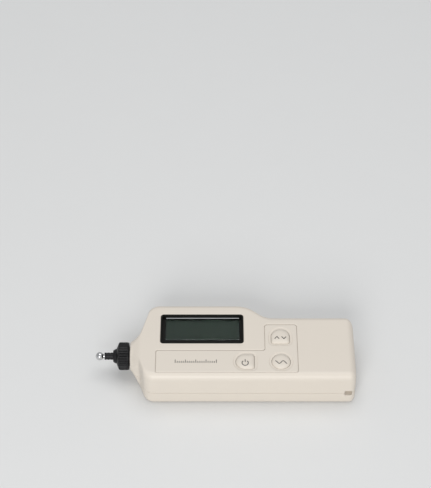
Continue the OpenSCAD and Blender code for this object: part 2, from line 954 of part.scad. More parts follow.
// Main circuit board, wide under the display and narrow in the handle
module main_board() {
    color([0.1, 0.35, 0.2])
        difference() {
            translate([0, 0, board_low])
                linear_extrude(board_t)
                    polygon([
                        [board_x0, board_y0], [board_x1, board_y0], [board_x1, board_y1],
                        [board_head_x, board_y1], [board_head_x, board_head_y], [board_x0, board_head_y]
                    ]);
            for (p = case_screw_places)
                post(p, board_low - over, board_top + over, boss_r + move_gap);
            for (p = board_screw_places)
                post(p, board_low - over, board_top + over, board_screw_r + run_gap);
            battery_room();
        }
}

// Space that the battery and its snap connector keep free, over the bay's whole length
module battery_room() {
    block([bay_x0 - move_gap, battery_y0 - move_gap, 0],
        [butt_x, battery_y0 + battery_w + move_gap, battery_z0 + battery_h + move_gap]);
}

// Place on the board's head that lies at the given shares of its length and width
function board_head(s) = [mix(board_x0, board_head_x, s[0]), mix(board_y0, board_head_y, s[1])];

// Chips on the board's underside
module board_chips() {
    color([0.12, 0.12, 0.13])
        for (c = [for (s = chip_shares) board_head(s)])
            block([c[0] - chip_l / 2, c[1] - chip_w / 2, board_low - chip_h],
                [c[0] + chip_l / 2, c[1] + chip_w / 2, board_low]);
}

// Round capacitors that hang under the board
module board_capacitors() {
    color([0.1, 0.12, 0.3])
        for (p = [for (s = capacitor_shares) board_head(s)])
            post(p, board_low - capacitor_h, board_low, capacitor_r);
}

// Square adjusting pots with slotted screws, under the board
module trim_pots() {
    color([0.15, 0.35, 0.7])
        for (p = [for (s = trim_shares) board_head(s)])
            difference() {
                union() {
                    block([p[0] - trim_w / 2, p[1] - trim_w / 2, board_low - trim_h],
                        [p[0] + trim_w / 2, p[1] + trim_w / 2, board_low]);
                    post(p, board_low - trim_h - trim_screw_h, board_low - trim_h / 2, trim_screw_r);
                }
                block([p[0] - trim_w / 2, p[1] - trim_slot / 2, board_low - trim_h - over],
                    [p[0] + trim_w / 2, p[1] + trim_slot / 2, board_low - trim_h]);
            }
}

// Four screws from the back into the front shell's bosses
module case_screws() {
    color(steel)
        for (p = case_screw_places) {
            post(p, boss_seat_z - screw_head_h, boss_seat_z, screw_head_r);
            post(p, boss_seat_z - screw_head_h / 2, screw_top_z, screw_r);
        }
}

// Four small screws that hold the board on the front shell's posts
module board_screws() {
    color(steel)
        for (p = board_screw_places) {
            post(p, board_low - board_screw_head_h, board_low, board_screw_head_r);
            post(p, board_low - board_screw_head_h / 2, board_low + board_screw_l, board_screw_r);
        }
}

// Socket for the signal output, with its round neck in the butt wall
module output_jack() {
    color(black)
        difference() {
            union() {
                block([jack_x1 - jack_l, jack_y - jack_w / 2, jack_z - jack_h / 2],
                    [jack_x1, jack_y + jack_w / 2, jack_z + jack_h / 2]);
                translate([jack_x1 - wall, jack_y, jack_z])
                    rotate([0, 90, 0])
                        cylinder(h = 2 * wall, r = jack_neck_r);
            }
            translate([jack_x1 + wall - jack_bore_l, jack_y, jack_z])
                rotate([0, 90, 0])
                    cylinder(h = jack_bore_l + over, r = jack_bore_r);
        }
}

// Steel cup of the pickup, with the spigot that comes out of the nose
module pickup_housing() {
    color(steel)
        difference() {
            union() {
                axis_bar(pickup_x0, pickup_x1 - cap_t, pickup_r);
                axis_bar(spigot_x0, pickup_x0 + pickup_base / 2, spigot_r);
            }
            axis_bar(pickup_x0 + pickup_base, pickup_x1, pickup_r - pickup_wall);
            axis_bar(spigot_x0 - over, spigot_x0 + thread_l + move_gap, thread_r + run_gap);
        }
}

// Lid at the back of the pickup, with a hole for its lead
module pickup_cap() {
    color(steel)
        difference() {
            axis_bar(pickup_x1 - cap_t, pickup_x1, pickup_r);
            axis_bar(pickup_x1 - 2 * cap_t, pickup_x1 + over, lead_r + run_gap);
        }
}

// Two piezoelectric rings between the base and the mass
module piezo_discs() {
    color([0.85, 0.8, 0.6])
        for (x = [0, disc_t + electrode_t])
            translate([pickup_x0 + pickup_base + x - nose_x, 0, 0])
                difference() {
                    axis_bar(nose_x, nose_x + disc_t, disc_r);
                    axis_bar(nose_x - over, nose_x + disc_t + over, bolt_r + run_gap);
                }
}

// Heavy ring that loads the piezoelectric discs
module seismic_mass() {
    x = pickup_x0 + pickup_base + disc_stack;
    color([0.55, 0.55, 0.5])
        difference() {
            axis_bar(x, x + mass_l, mass_r);
            axis_bar(x - over, x + mass_l + over, bolt_r + run_gap);
        }
}

// Bolt that clamps the mass and the discs to the base
module pickup_bolt() {
    x = pickup_x0 + pickup_base;
    color(steel) {
        axis_bar(x, x + disc_stack + mass_l + bolt_head_t / 2, bolt_r);
        axis_bar(x + disc_stack + mass_l, x + disc_stack + mass_l + bolt_head_t, bolt_head_r);
    }
}

// Rubber ring between the pickup and the nose
module isolation_ring() {
    color(black)
        difference() {
            axis_bar(pocket_x, pickup_x0, pickup_r);
            axis_bar(pocket_x - over, pickup_x0 + over, spigot_r + run_gap);
        }
}

// Point on a curve with four control points
function bent(a, b, c, d, t) =
    a * pow(1 - t, 3) + 3 * b * t * pow(1 - t, 2) + 3 * c * t * t * (1 - t) + d * t * t * t;

// A thin lead swept along such a curve
module lead(a, b, c, d) {
    path = [for (k = [0 : lead_rings]) bent(a, b, c, d, k / lead_rings)];
    way = [
        for (k = [0 : lead_rings])
            unit(k == 0 ? b - a : k == lead_rings ? d - c : path[k + 1] - path[k - 1])
    ];
    n = lead_sides;
    polyhedron(
        points = [
            for (k = [0 : lead_rings])
                let (u = unit(cross(way[k], [0, 1, 0])), v = cross(way[k], u))
                for (j = [0 : n - 1])
                    path[k] + lead_r * (cos(360 * j / n) * u + sin(360 * j / n) * v)
        ],
        faces = concat(
            [[for (j = [0 : n - 1]) j]],
            [
                for (k = [0 : lead_rings - 1], j = [0 : n - 1], half = [0, 1])
                    let (p = k * n + j, q = k * n + (j + 1) % n)
                    half == 0 ? [p, p + n, q + n] : [p, q + n, q]
            ],
            [[for (j = [0 : n - 1]) (lead_rings + 1) * n - 1 - j]]
        )
    );
}

// Signal lead from the pickup to the board
module pickup_lead() {
    a = [pickup_x1, axis_y, axis_z];
    d = [board_x0 + pad_back, axis_y, board_low];
    color([0.5, 0.5, 0.5])
        lead(a, a + [lead_bend, 0, 0], d - [0, 0, lead_bend], d);
}

// Knurled ring on the spigot
module knurled_collar() {
    teeth = [
        for (k = [0 : 2 * collar_ribs - 1], s = [-1, 1])
            let (a = (k + s / 4) * 180 / collar_ribs, r = k % 2 == 0 ? collar_r : collar_r - rib_depth)
            r * [cos(a), sin(a)]
    ];
    color(black)
        difference() {
            intersection() {
                union() {
                    translate([collar_x0, axis_y, axis_z])
                        rotate([0, 90, 0])
                            linear_extrude(collar_l - collar_rim_l / 2)
                                polygon(teeth);
                    axis_bar(collar_x1 - collar_rim_l, collar_x1, collar_r - collar_rim_in);
                }
                translate([collar_x0, axis_y, axis_z])
                    rotate([0, 90, 0])
                        rotate_extrude()
                            polygon([
                                [0, 0], [collar_r - collar_slope, 0],
                                [collar_r - collar_edge, collar_slope_l],
                                [collar_r + collar_edge, collar_slope_l + 2 * collar_edge],
                                [collar_r + collar_edge, collar_l], [0, collar_l]
                            ]);
            }
            axis_bar(collar_x0 + collar_web, collar_x1 + over, spigot_r + run_gap);
            axis_bar(collar_x0 - over, collar_x0 + 2 * collar_web, foot_r + move_gap);
        }
}

// Neck of the probe: shoulder, slim rod with shallow rings, and the threaded end in the spigot
module probe_neck() {
    x = collar_x0 - part_gap;
    color(black)
        difference() {
            union() {
                translate([x - foot_l, axis_y, axis_z])
                    rotate([0, 90, 0])
                        cylinder(h = foot_l, r1 = shoulder_front_r, r2 = shoulder_back_r);
                axis_bar(x - over, spigot_x0 - part_gap, foot_r);
                axis_bar(spigot_x0 - over, spigot_x0 + thread_l, thread_r);
                axis_bar(neck_front, x - over, neck_r);
            }
            axis_bar(neck_front - over, neck_front + pin_in, pin_r + run_gap);
            for (k = [0 : neck_ring_count - 1])
                neck_groove(neck_front + neck_ring_l + k * neck_ring_pitch);
        }
}

module neck_groove(x) {
    difference() {
        axis_bar(x, x + neck_ring_t, neck_r + over);
        axis_bar(x - over, x + 2 * over, neck_r - neck_ring_depth);
    }
}

// Hard ball that touches the machine, with its pin in the neck
module probe_ball() {
    color([0.85, 0.86, 0.88]) {
        translate([ball_x, axis_y, axis_z])
            sphere(ball_r, $fn = 64);
        axis_bar(ball_x, neck_front + pin_in - part_gap, pin_r);
    }
}

// Nine volt block battery
module battery() {
    color([0.25, 0.27, 0.3])
        translate([battery_x0, battery_y0, battery_z0])
            block_along(battery_body_l, battery_w, battery_h, battery_r);
}

// A block lying along X with round long edges
module block_along(l, w, h, r) {
    rotate([90, 0, 90])
        plate([0, 0, 0], w, h, l, r);
}

// The battery's stud and its socket ring
module battery_terminals() {
    color(steel) {
        terminal_bar(-1, battery_x0 - terminal_h, battery_x0, terminal_r);
        difference() {
            terminal_bar(1, battery_x0 - terminal_h, battery_x0, terminal_ring_r);
            terminal_bar(1, battery_x0 - 2 * terminal_h, battery_x0 + over, terminal_ring_in);
        }
    }
}

// A bar along X on one of the two terminals' axes
module terminal_bar(s, x0, x1, r) {
    translate([x0, battery_mid_y + s * terminal_pitch / 2, terminal_z])
        rotate([0, 90, 0])
            cylinder(h = x1 - x0, r = r);
}

// Plate that snaps on the battery's terminals, with the opposite stud and ring
module battery_snap() {
    color(black) {
        translate([snap_x1 - snap_t, battery_mid_y - snap_w / 2, terminal_z - snap_h / 2])
            block_along(snap_t, snap_w, snap_h, battery_r);
        difference() {
            terminal_bar(-1, snap_x1 - snap_t / 2, battery_x0 - snap_gap, terminal_ring_r);
            terminal_bar(-1, snap_x1, battery_x0 + over, snap_socket_in);
        }
        terminal_bar(1, snap_x1 - snap_t / 2, battery_x0 - snap_gap, snap_stud_r);
    }
}

// Two leads from the snap connector to the board
module battery_leads() {
    for (s = [-1, 1]) {
        a = [snap_x1 - snap_t, battery_mid_y + s * lead_pitch / 2, terminal_z + lead_lift];
        d = [bay_x0 - pad_back, battery_mid_y + s * lead_pitch / 2, board_low];
        color(s > 0 ? "red" : "black")
            lead(a, a - [lead_bend, 0, 0], d - [0, 0, lead_bend], d);
    }
}

front_shell();
rear_shell();
battery_door();
lcd_bezel();
lcd_lens();
lcd_front_glass();
lcd_rear_glass();
lcd_holder();
contact_strips();
keypad_overlay();
measure_key();
mode_key();
range_key();
key_switches();
main_board();
board_chips();
board_capacitors();
trim_pots();
case_screws();
board_screws();
output_jack();
pickup_housing();
pickup_cap();
piezo_discs();
seismic_mass();
pickup_bolt();
isolation_ring();
pickup_lead();
knurled_collar();
probe_neck();
probe_ball();
battery();
battery_terminals();
battery_snap();
battery_leads();
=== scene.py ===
import bmesh
import bpy
import numpy as np
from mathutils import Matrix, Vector


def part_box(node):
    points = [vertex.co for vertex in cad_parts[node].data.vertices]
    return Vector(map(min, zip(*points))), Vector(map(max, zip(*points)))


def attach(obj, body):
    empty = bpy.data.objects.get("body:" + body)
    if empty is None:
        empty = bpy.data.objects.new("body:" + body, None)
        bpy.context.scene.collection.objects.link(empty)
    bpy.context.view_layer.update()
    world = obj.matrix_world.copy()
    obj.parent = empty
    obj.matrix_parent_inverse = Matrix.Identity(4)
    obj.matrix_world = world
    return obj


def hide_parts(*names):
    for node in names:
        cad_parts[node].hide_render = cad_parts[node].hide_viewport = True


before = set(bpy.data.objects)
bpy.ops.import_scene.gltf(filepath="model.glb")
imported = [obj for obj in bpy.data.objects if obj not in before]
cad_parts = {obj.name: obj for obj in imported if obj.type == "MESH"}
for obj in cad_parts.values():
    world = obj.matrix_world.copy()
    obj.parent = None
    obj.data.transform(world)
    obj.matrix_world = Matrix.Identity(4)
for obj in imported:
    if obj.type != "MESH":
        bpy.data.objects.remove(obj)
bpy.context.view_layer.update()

# Front shell. The upper half of the case, injection-moulded in off-white ABS with a fine matt grain.
# Its outside runs from a round nose to a square butt end. The window, the shallow keypad recess, the
# key holes and the strap slot are moulded in, and four bosses take the screws from the back.


def box(*names):
    """Lowest and highest corner of some CAD nodes together, in millimetres."""
    corners = np.array([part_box(name) for name in names]) * 1000
    return corners[:, 0].min(0), corners[:, 1].max(0)


def unit(v):
    return v / np.linalg.norm(v, axis=-1, keepdims=True)


def mix(a, b, t):
    return a + (b - a) * t


def smooth(t):
    """Goes from 0 to 1 with level ends: 3 t squared less 2 t cubed."""
    t = np.clip(t, 0, 1)
    return t * t * (3 - 2 * t)


def rounding(s, r):
    """How far a quarter round of radius r has drawn in at the distance s before the end that it rounds."""
    return r - np.sqrt(r * r - (r - np.clip(s, 0, r)) ** 2)


def inset(corners, d):
    """Corners [x, y, radius] of a counterclockwise outline after each side has moved inwards by d.
    Outer corners lose d of their radius and inner corners gain it."""
    p = corners[:, :2]
    e1 = unit(p - np.roll(p, 1, 0))
    e2 = unit(np.roll(p, -1, 0) - p)
    n1 = e1[:, ::-1] * [-1, 1]
    n2 = e2[:, ::-1] * [-1, 1]
    moved = p + (n1 + n2) * d / (1 + (n1 * n2).sum(1, keepdims=True))
    turns_left = e1[:, 0] * e2[:, 1] > e1[:, 1] * e2[:, 0]
    radius = corners[:, 2] + np.where(turns_left, -d, d)
    return np.column_stack([moved, np.maximum(radius, 0.05)])


def rounded(corners, steps):
    """Outline through corners [x, y, radius], each replaced by the arc that touches both its sides."""
    p, r = corners[:, :2], corners[:, 2:]
    a = unit(np.roll(p, 1, 0) - p)
    b = unit(np.roll(p, -1, 0) - p)
    half = np.arccos((a * b).sum(1, keepdims=True)) / 2
    centre = p + unit(a + b) * r / np.sin(half)
    start = p + a * r / np.tan(half) - centre
    end = p + b * r / np.tan(half) - centre
    first = np.arctan2(start[:, 1], start[:, 0])[:, None]
    sweep = np.arctan2(end[:, 1], end[:, 0])[:, None] - first
    angle = first + ((sweep + 3 * np.pi) % (2 * np.pi) - np.pi) * np.linspace(0, 1, steps + 1)
    circle = np.stack([np.cos(angle), np.sin(angle)], -1)
    return (centre[:, None] + r[:, None] * circle).reshape(-1, 2)


def rectangle(low, high, r):
    """Corners of a rectangle between two opposite corners, all with the radius r."""
    (x0, y0), (x1, y1) = low, high
    return np.array([[x0, y0, r], [x1, y0, r], [x1, y1, r], [x0, y1, r]], float)


def stacked(corners, profile, steps=8):
    """Rings of an upright form: for each pair (d, z), the outline moved inwards by d, at the height z."""
    flat = np.array([rounded(inset(corners, d), steps) for d, z in profile])
    return np.dstack([flat, np.broadcast_to(np.array(profile)[:, 1:], flat.shape[:2])])


def turned(centre, profile, axis="z", steps=72):
    """Rings of a turned form: each pair (radius, distance) goes once round the axis through the centre.
    The distance is measured along the axis from the frame's origin."""
    r, h = np.array(profile, float).T[:, :, None]
    angle = np.arange(steps) * 2 * np.pi / steps
    u, v = r * np.cos(angle), r * np.sin(angle)
    if axis == "z":
        return np.stack([centre[0] + u, centre[1] + v, h + 0 * u], -1)
    return np.stack([h + 0 * u, centre[0] + u, centre[1] + v], -1)


def quarter(r, steps=5):
    """Pairs along a quarter circle of radius r: how far it is drawn in, and its height over its start."""
    a = np.linspace(0, np.pi / 2, steps + 1)
    return np.column_stack([r * (1 - np.cos(a)), r * np.sin(a)])


def form(name, *ring_sets, joined=False):
    """A mesh object from sets of rings, in millimetres. Neighbouring rings are joined by a band of faces.
    The end rings are capped, or joined to each other to close a hollow ring."""
    points, faces, base = [], [], 0
    for rings in ring_sets:
        n, m = rings.shape[:2]
        index = base + np.arange(n * m).reshape(n, m)
        a, b = (index, np.roll(index, -1, 0)) if joined else (index[:-1], index[1:])
        quads = np.stack([a, np.roll(a, -1, 1), np.roll(b, -1, 1), b], -1)
        faces += quads.reshape(-1, 4).tolist()
        if not joined:
            faces += [index[0].tolist(), index[-1].tolist()]
        points += (rings.reshape(-1, 3) / 1000).tolist()
        base += n * m
    mesh = bpy.data.meshes.new(name)
    mesh.from_pydata(points, [], faces)
    work = bmesh.new()
    work.from_mesh(mesh)
    bmesh.ops.remove_doubles(work, verts=work.verts, dist=1e-7)
    bmesh.ops.dissolve_degenerate(work, edges=work.edges, dist=1e-7)
    bmesh.ops.recalc_face_normals(work, faces=work.faces)
    work.to_mesh(mesh)
    work.free()
    piece = bpy.data.objects.new(name, mesh)
    bpy.context.scene.collection.objects.link(piece)
    return piece


def carve(piece, *tools, how="DIFFERENCE"):
    """Cuts the tools out of the piece, or joins them to it, one after the other, and removes them."""
    for tool in tools:
        change = piece.modifiers.new("carve", "BOOLEAN")
        change.operation = how
        change.solver = "EXACT"
        change.object = tool
        graph = bpy.context.evaluated_depsgraph_get()
        mesh = bpy.data.meshes.new_from_object(piece.evaluated_get(graph))
        piece.modifiers.clear()
        piece.data = mesh
        bpy.data.objects.remove(tool)
    return piece


def place(piece, body, slot, material, *nodes, sharp=32):
    """Finishes a piece: smooth faces that break at sharp edges, its material and its body. The slot is not
    used.
    """
    mesh = piece.data
    mesh.materials.clear()
    mesh.materials.append(material)
    mesh.polygons.foreach_set("use_smooth", np.ones(len(mesh.polygons), bool))
    mesh.set_sharp_from_angle(angle=np.radians(sharp))
    normals = piece.modifiers.new("normals", "WEIGHTED_NORMAL")
    normals.keep_sharp = True
    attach(piece, body)
    if nodes:
        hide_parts(*nodes)
    return piece


def node(tree, kind, inputs=(), **settings):
    """A shader node with its settings, and a value or a link on each named or numbered input."""
    made = tree.nodes.new("ShaderNode" + kind)
    for key, value in settings.items():
        setattr(made, key, value)
    for key, value in dict(inputs).items():
        if isinstance(value, bpy.types.NodeSocket):
            tree.links.new(value, made.inputs[key])
        else:
            made.inputs[key].default_value = value
    return made


def math(tree, operation, *values):
    return node(tree, "Math", enumerate(values), operation=operation).outputs[0]


def new_group(name, inputs, outputs):
    """An empty node group. Inputs are given as name: default, with a colour as four numbers, and outputs
    as name: kind."""
    tree = bpy.data.node_groups.new(name, "ShaderNodeTree")
    for key, value in inputs.items():
        kind = "NodeSocketColor" if hasattr(value, "__len__") else "NodeSocketFloat"
        tree.interface.new_socket(key, in_out="INPUT", socket_type=kind).default_value = value
    for key, kind in outputs.items():
        tree.interface.new_socket(key, in_out="OUTPUT", socket_type="NodeSocket" + kind)
    return tree, tree.nodes.new("NodeGroupInput").outputs, tree.nodes.new("NodeGroupOutput").inputs


def surface_group():
    """Slow drift and fine speckle of a surface's tone and roughness, and the height of its grain."""
    tree, given, out = new_group(
        "surface",
        {"Color": (0.5, 0.5, 0.5, 1), "Roughness": 0.5, "Grain": 2500, "Drift": 0.02},
        {"Color": "Color", "Roughness": "Float", "Height": "Float"},
    )
    place_in = node(tree, "TexCoord").outputs["Object"]
    slow = node(tree, "TexNoise", {"Vector": place_in, "Scale": 28, "Detail": 3}).outputs[0]
    fine = node(tree, "TexNoise", {"Vector": place_in, "Scale": given["Grain"], "Detail": 2}).outputs[0]
    both = math(tree, "ADD", math(tree, "SUBTRACT", slow, 0.5), math(tree, "SUBTRACT", fine, 0.5))
    tone = math(tree, "MULTIPLY_ADD", both, given["Drift"], 1)
    scaled = node(tree, "VectorMath", {0: given["Color"], "Scale": tone}, operation="SCALE")
    tree.links.new(scaled.outputs[0], out["Color"])
    tree.links.new(math(tree, "MULTIPLY_ADD", both, 0.12, given["Roughness"]), out["Roughness"])
    tree.links.new(fine, out["Height"])
    return tree


surface = surface_group()


def finish(name, color, roughness, grain=2500, drift=0.02, bump=0.1, depth=0.00002, **sockets):
    """A material whose colour, roughness and fine bump pass through the surface group.
    The other sockets of its shader are plain values."""
    made = bpy.data.materials.new(name)
    made.use_nodes = True
    tree = made.node_tree
    shader = tree.nodes["Principled BSDF"]
    given = {"Color": (*color, 1), "Roughness": roughness, "Grain": grain, "Drift": drift}
    effect = node(tree, "Group", node_tree=surface)
    for key, value in given.items():
        effect.inputs[key].default_value = value
    relief = node(tree, "Bump", {"Strength": bump, "Distance": depth, "Height": effect.outputs["Height"]})
    tree.links.new(effect.outputs["Color"], shader.inputs["Base Color"])
    tree.links.new(effect.outputs["Roughness"], shader.inputs["Roughness"])
    tree.links.new(relief.outputs[0], shader.inputs["Normal"])
    for key, value in sockets.items():
        shader.inputs[key.replace("_", " ").title().replace("Ior", "IOR")].default_value = value
    return made


case_color = (0.722, 0.657, 0.572)
case_plastic = finish("case_plastic", case_color, 0.42, grain=3200, drift=0.03, bump=0.25)

(nose_x, near_y, seam_z), (butt_x, far_y, face_z) = box("front_shell")
axis_y, axis_z = np.mean(box("probe_ball"), 0)[1:]
case_wall = 2.2
face_in = face_z - case_wall
handle_y = near_y + 56.5
face_edge_r = 5.0
back_edge_r = 3.0

# Nose: a round end that turns into the flat case, with its shoulders and the slopes of the head
nose_r = 10.2
nose_end_r = 1.2
nose_blend = 8.0
nose_solid = 9.0
shoulder_dx = 6.8
shoulder_near = 15.0
shoulder_far = 12.0
shoulder_r = 5.6
near_slope_dx = 11.7
far_slope_dx = 14.2
slope_r = 8.2
waist_start_dx = 82.8
waist_start_r = 19
waist_end_dx = 97.3
waist_end_r = 15
butt_near_r = 4.5
butt_far_r = 6
case_corners = np.array([
    [nose_x, axis_y - nose_r, nose_end_r],
    [nose_x + shoulder_dx, axis_y - shoulder_near, shoulder_r],
    [nose_x + near_slope_dx, near_y, slope_r],
    [butt_x, near_y, butt_near_r],
    [butt_x, handle_y, butt_far_r],
    [nose_x + waist_end_dx, handle_y, waist_end_r],
    [nose_x + waist_start_dx, far_y, waist_start_r],
    [nose_x + far_slope_dx, far_y, slope_r],
    [nose_x + shoulder_dx, axis_y + shoulder_far, shoulder_r],
    [nose_x, axis_y + nose_r, nose_end_r],
])
near_corners = 4

# Steps of the case's mesh: round an arc of the plan, over the nose, at each rounded end, up a wall and
# round an edge. Stations closer than the least gap are merged
plan_steps = 18
nose_steps = 24
end_steps = 16
wall_steps = 8
edge_steps = 12
least_gap = 0.01

# How far a cutter runs past the surface that it opens
past = 1


def sides(inward):
    """Near and far side of the case in plan, moved inwards, each as a table of y against x."""
    outline = rounded(inset(case_corners, inward), plan_steps)
    split = near_corners * (plan_steps + 1)
    return outline[:split].T, outline[split:][::-1].T


def stations(first, last, inward):
    """Places along the case for its sections: all points of the plan's arcs, even steps over the nose,
    and steps that close up towards both rounded ends."""
    near, far = sides(inward)
    close_up = 1 - np.sin(np.linspace(0, np.pi / 2, end_steps))
    over_nose = np.linspace(0, 1, nose_steps)
    x = np.concatenate([
        near[0], far[0], nose_x + nose_blend * over_nose, nose_x + nose_end_r * close_up,
        last - face_edge_r * close_up, last - back_edge_r * close_up, [first, last],
    ])
    x = np.unique(np.round(x[(x >= first) & (x <= last)], 3))
    x = x[np.append(True, np.diff(x) > least_gap)]
    x[-1] = last
    return x


def half_case(up, start, inward=0.0, first=nose_x, last=butt_x):
    """Rings of the upper or the lower half of the case, moved inwards. A section climbs the near wall from
    the height start, turns two corners and comes down the far wall. Over the nose its corners grow until
    it is a circle, and at the butt end it draws in by a quarter round."""
    x = stations(first, last, inward)[:, None]
    near, far = sides(inward)
    t = smooth((x - nose_x) / nose_blend)
    tip = rounding(x - nose_x, nose_end_r)
    top = mix(axis_z + nose_r, face_z, t) - tip - inward - rounding(last - x, face_edge_r - inward)
    low = mix(axis_z - nose_r, 0, t) + tip + inward + rounding(last - x, back_edge_r - inward)
    top_r = mix(nose_r, face_edge_r, t) - tip - inward
    low_r = mix(nose_r, back_edge_r, t) - tip - inward
    rise = np.linspace(0, 1, wall_steps + 1)[:-1]
    turn = np.linspace(0, 1, edge_steps + 1)
    if up:
        wall_z = mix(start, top - top_r, rise)
        wall_in = rounding(np.maximum(wall_z - low, 0), low_r)
        corner_z = top - top_r + top_r * np.sin(turn * np.pi / 2)
        corner_in = top_r * (1 - np.cos(turn * np.pi / 2))
    else:
        a = np.arcsin(np.clip((low + low_r - start) / low_r, 0, 1))
        wall_z = mix(start, low + low_r * (1 - np.sin(a)), rise)
        wall_in = low_r * (1 - np.cos(a)) + 0 * rise
        a = mix(a, np.pi / 2, turn)
        corner_z = low + low_r * (1 - np.sin(a))
        corner_in = low_r * (1 - np.cos(a))
    z = np.hstack([wall_z, corner_z])
    drawn_in = np.hstack([wall_in, corner_in])
    near_wall = np.dstack([x + 0 * z, np.interp(x, *near) + drawn_in, z])
    far_wall = np.dstack([x + 0 * z, np.interp(x, *far) - drawn_in, z])
    return np.concatenate([near_wall, far_wall[:, ::-1]], 1)


def arc(r, start, end, n):
    """Points along an arc of radius r about the origin, between two angles in degrees."""
    a = np.radians(np.linspace(start, end, n))
    return np.column_stack([r * np.cos(a), r * np.sin(a)])


def key_outline(side, grow=0.0, count=120):
    """Even points round a key about its axis, grown outwards: a circle, or half a circle and half a square
    with two rounded corners, turned so that its flat side faces the given angle."""
    c = (key_r if side is None else key_corner_r) + grow
    inner = key_r + grow - c
    points = np.concatenate([
        arc(key_r + grow, 90, 270, 61), arc(c, 270, 360, 31) + [inner, -inner], arc(c, 0, 90, 31) + inner,
    ])
    length = np.append(0, np.cumsum(np.linalg.norm(np.diff(points, axis=0), axis=1)))
    even = np.linspace(0, length[-1], count + 1)[:-1]
    x, y = [np.interp(even, length, axis) for axis in points.T]
    turn = np.radians(side or 0)
    return np.column_stack([x * np.cos(turn) - y * np.sin(turn), x * np.sin(turn) + y * np.cos(turn)])


def key_rings(at, side, profile):
    """Rings of an upright form on a key's outline: for each pair (d, z), the outline grown by d, at the
    height z."""
    flat = np.array([key_outline(side, d) for d, z in profile])
    return np.dstack([flat + at, np.broadcast_to(np.array(profile)[:, 1:], flat.shape[:2])])


def opening(corners, low, top, flare, drop, steps=8):
    """Rings of a cutter for an opening with straight walls and a rounded rim that is flush with the top."""
    rim = quarter(1) * [flare, drop]
    profile = [(0, low), *np.column_stack([-rim[:, 0], top - drop + rim[:, 1]]), (-flare, top + past)]
    return stacked(corners, profile, steps)


def round_hole(centre, r, low, high, axis="z"):
    """Rings of a plain round cutter."""
    return turned(centre, [(r, low), (r, high)], axis, 48)


# Display window and keypad recess. Their places are read off the pieces that sit in them
seat_gap = 0.15
overlay_gap = 0.25
window_r = 2.2
window_flare = 0.6
strip_r = 1.5
column_r = 2.3
recess_flare = 1.2
recess_drop = 0.2
glue_groove_w = 0.5
glue_groove_h = 0.5
overlay_low, overlay_high = box("keypad_overlay")
lens_low, lens_high = box("lcd_lens")
bezel_low, bezel_high = box("lcd_bezel")
flange = 1.5
window_low = bezel_low[:2] + flange
window_high = bezel_high[:2] - flange
window_corners = rectangle(window_low, window_high, window_r)
strip_w = 20.5
column_w = 23.4
recess_low = overlay_low[:2] - overlay_gap
recess_high = overlay_high[:2] + overlay_gap
recess_corners = np.array([
    [recess_low[0], recess_low[1], strip_r],
    [recess_high[0], recess_low[1], column_r],
    [recess_high[0], recess_high[1], column_r],
    [recess_high[0] - column_w, recess_high[1], column_r],
    [recess_high[0] - column_w, recess_low[1] + strip_w, strip_r],
    [recess_low[0], recess_low[1] + strip_w, strip_r],
])

# Keys, screws and posts: their places in plan. Two keys have a flat side, which faces the given angle
key_nodes = ["measure_key", "mode_key", "range_key"]
key_places = [np.mean(box(name), 0)[:2] for name in key_nodes]
key_sides = [0, None, -90]
key_r = 6.6
key_corner_r = 2.2
key_gap = 0.3
screw_places = [
    (nose_x + far_slope_dx + 7.3, far_y - 4.5),
    (nose_x + near_slope_dx + 8.1, near_y + 4.5),
    (butt_x - 22.5, handle_y - 4.9),
    (butt_x - 13.5, near_y + 4.5),
]
boss_r = 2.9
pilot_r = 1.2
pilot_z = 19
board_low, board_high = box("main_board")
post_r = 2.2
post_places = [
    (board_low[0] + 16.1, key_places[0][1]),
    (window_high[0] + 8, handle_y - 10.7),
    (butt_x - 27, handle_y - 11.6),
    (butt_x - 27, board_low[1] + 2.4),
]
rib_half = 10.8
rib_t = 1.6
rib_pitch = 6
rib_places = [nose_x + nose_solid, nose_x + nose_solid + rib_pitch]

# Strap slot: a channel that bends round a post at the near corner of the butt end
slot_low, slot_high = 8.8, 13.6
slot_r = (2.5, 7.7)
slot_wall = 1.4
slot_edge_r = 0.8
slot_flare = 0.4


def strap_slot():
    """Rings of the slot's cutter: a rounded section, in radius and height, carried a quarter turn round
    the corner. Both mouths widen by a quarter round and run past the faces."""
    rim = quarter(slot_flare)[::-1]
    mid_r = sum(slot_r) / 2
    grow = np.concatenate([[slot_flare], rim[:, 0]])
    depth = np.concatenate([[0], slot_flare - rim[:, 1]])
    push = np.concatenate([[past], 0 * rim[:, 0]])
    bend = np.linspace(np.pi / 2, np.pi, 20)[1:-1]
    angle = np.concatenate([np.pi / 2 + depth / mid_r, bend, (np.pi - depth / mid_r)[::-1]])
    grow = np.concatenate([grow, 0 * bend, grow[::-1]])
    out_x = np.concatenate([push, 0 * bend, 0 * push])
    out_y = np.concatenate([0 * push, 0 * bend, -push[::-1]])
    section = rectangle((slot_r[0], slot_low), (slot_r[1], slot_high), slot_edge_r)
    rz = np.array([rounded(inset(section, -g), 4) for g in grow])
    x = butt_x + rz[:, :, 0] * np.cos(angle)[:, None] + out_x[:, None]
    y = near_y + rz[:, :, 0] * np.sin(angle)[:, None] + out_y[:, None]
    return np.dstack([x, y, rz[:, :, 1]])


seam_width = 0.2
seam_depth = 0.4


